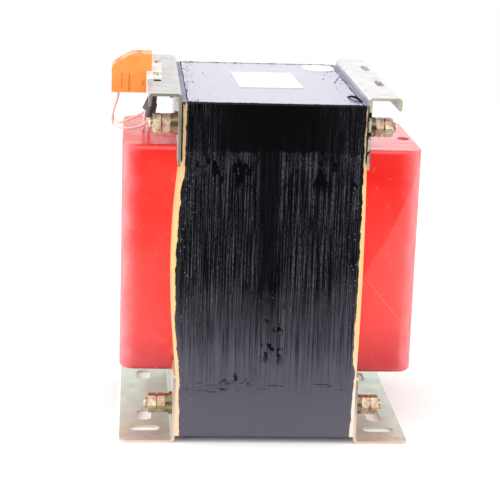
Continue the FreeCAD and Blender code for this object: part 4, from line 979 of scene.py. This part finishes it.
# %% Camera
yaw, pitch, roll = 0.0738, 0.2478, 0.0332
forward = Vector((math.sin(yaw) * math.cos(pitch), math.cos(yaw) * math.cos(pitch), -math.sin(pitch)))
level = Vector((math.cos(yaw), -math.sin(yaw), 0))
upward = level.cross(forward)
right = level * math.cos(roll) + upward * math.sin(roll)
up = upward * math.cos(roll) - level * math.sin(roll)
camera_data = bpy.data.cameras.new("camera")
camera_data.lens = 118.45
camera_data.sensor_width = 36.0
camera_data.clip_start = 0.05
camera = bpy.data.objects.new("camera", camera_data)
scene.collection.objects.link(camera)
turn = Matrix((right, up, -forward)).transposed().to_4x4()
camera.matrix_world = Matrix.Translation((-0.0769, -0.9622, 0.3379)) @ turn
scene.camera = camera
print("camera turned %.1f degrees right and %.1f down" % (math.degrees(yaw), math.degrees(pitch)))


# %% [markdown]
# ## Floor and cards
#
# The part stands on a white table. Its black front mirrors a dark room, so a dark card, a
# small one nearer and a dark wall lie before the part. The camera, the shadows and the soft
# light don't see them, so they only show as reflections.

# %% Floor and cards
def plane(name, half_x, half_y, centre, turned=(0, 0, 0)):
    """A stage card: a rectangle, turned by degrees about each axis."""
    corners = [(-half_x, -half_y, 0), (half_x, -half_y, 0), (half_x, half_y, 0), (-half_x, half_y, 0)]
    mesh = bpy.data.meshes.new(name)
    mesh.from_pydata(corners, [], [(0, 1, 2, 3)])
    thing = bpy.data.objects.new(name, mesh)
    thing.location = centre
    thing.rotation_euler = [math.radians(angle) for angle in turned]
    scene.collection.objects.link(thing)
    return thing


def matt(name, code):
    """A matt finish in one colour, for the stage only."""
    surface = Surface(name, Roughness=0.9, Base_Color=linear(code), Specular_IOR_Level=0.1)
    return surface.material


floor = plane("floor", 1.15, 1.15, (0, 0, 0))
floor.data.materials.append(matt("white paper table", "ffffff"))
dark_room = matt("dark room beyond the table", "101012")
dark_card = plane("dark_card", 3.0, 1.65, (0, -2.06, 0.002))
dark_card.data.materials.append(dark_room)
near_card = plane("near_card", 0.09, 0.15, (0.03, -0.28, 0.003))
near_card.data.materials.append(dark_room)
dark_wall = plane("dark_wall", 3.0, 1.5, (0, -4.0, 1.5), (90, 0, 0))
dark_wall.data.materials.append(matt("dark wall behind the camera", "161618"))
for card in (dark_card, near_card, dark_wall):
    card.visible_camera = False
    card.visible_diffuse = False
    card.visible_shadow = False
print("floor and three cards")


# %% [markdown]
# ## Lamps and world
#
# Large soft lamps hang above, at both sides, in front and behind, as in a product studio.
# The one behind is mirrored by the top faces, which look nearly white from the front. The
# world is white to the camera and a little weaker as light, so the background stays white
# and the object isn't flooded.

# %% Lamps and world
def softbox(name, place, target, width, height, power):
    """A rectangular lamp that faces a target and that the camera can't see."""
    light = bpy.data.lights.new(name, "AREA")
    light.shape = "RECTANGLE"
    light.size = width
    light.size_y = height
    light.energy = power
    lamp = bpy.data.objects.new(name, light)
    direction = Vector(target) - Vector(place)
    lamp.rotation_euler = direction.to_track_quat("-Z", "Y").to_euler()
    lamp.location = place
    lamp.visible_camera = False
    scene.collection.objects.link(lamp)
    return lamp


lamps = [
    softbox("top_softbox", (0, 0.1, 1.6), (0, 0, 0.1), 1.6, 1.6, 7),
    softbox("left_softbox", (-1.35, -0.45, 0.50), (0, 0, 0.1), 1.9, 0.5, 18),
    softbox("right_softbox", (1.35, -0.45, 0.50), (0, 0, 0.1), 1.9, 0.5, 12),
    softbox("front_softbox", (0, -1.7, 1.6), (0, -0.1, 0.05), 1.8, 1.0, 6),
    softbox("back_softbox", (0, 2.6, 0.62), (0, 0, 0.2), 2.6, 0.95, 5.8),
]

world_light, world_seen = 0.8, 1.0
world = bpy.data.worlds.new("white studio")
world.use_nodes = True
scene.world = world
tree = world.node_tree
background = tree.nodes["Background"]
background.inputs["Color"].default_value = (1, 1, 1, 1)
path = tree.nodes.new("ShaderNodeLightPath")
strength = tree.nodes.new("ShaderNodeMapRange")
tree.links.new(path.outputs["Is Camera Ray"], strength.inputs["Value"])
strength.inputs["To Min"].default_value = world_light
strength.inputs["To Max"].default_value = world_seen
tree.links.new(strength.outputs["Result"], background.inputs["Strength"])

scene.view_settings.view_transform = "Standard"
print("%d lamps of %.1f W in all" % (len(lamps), sum(lamp.data.energy for lamp in lamps)))
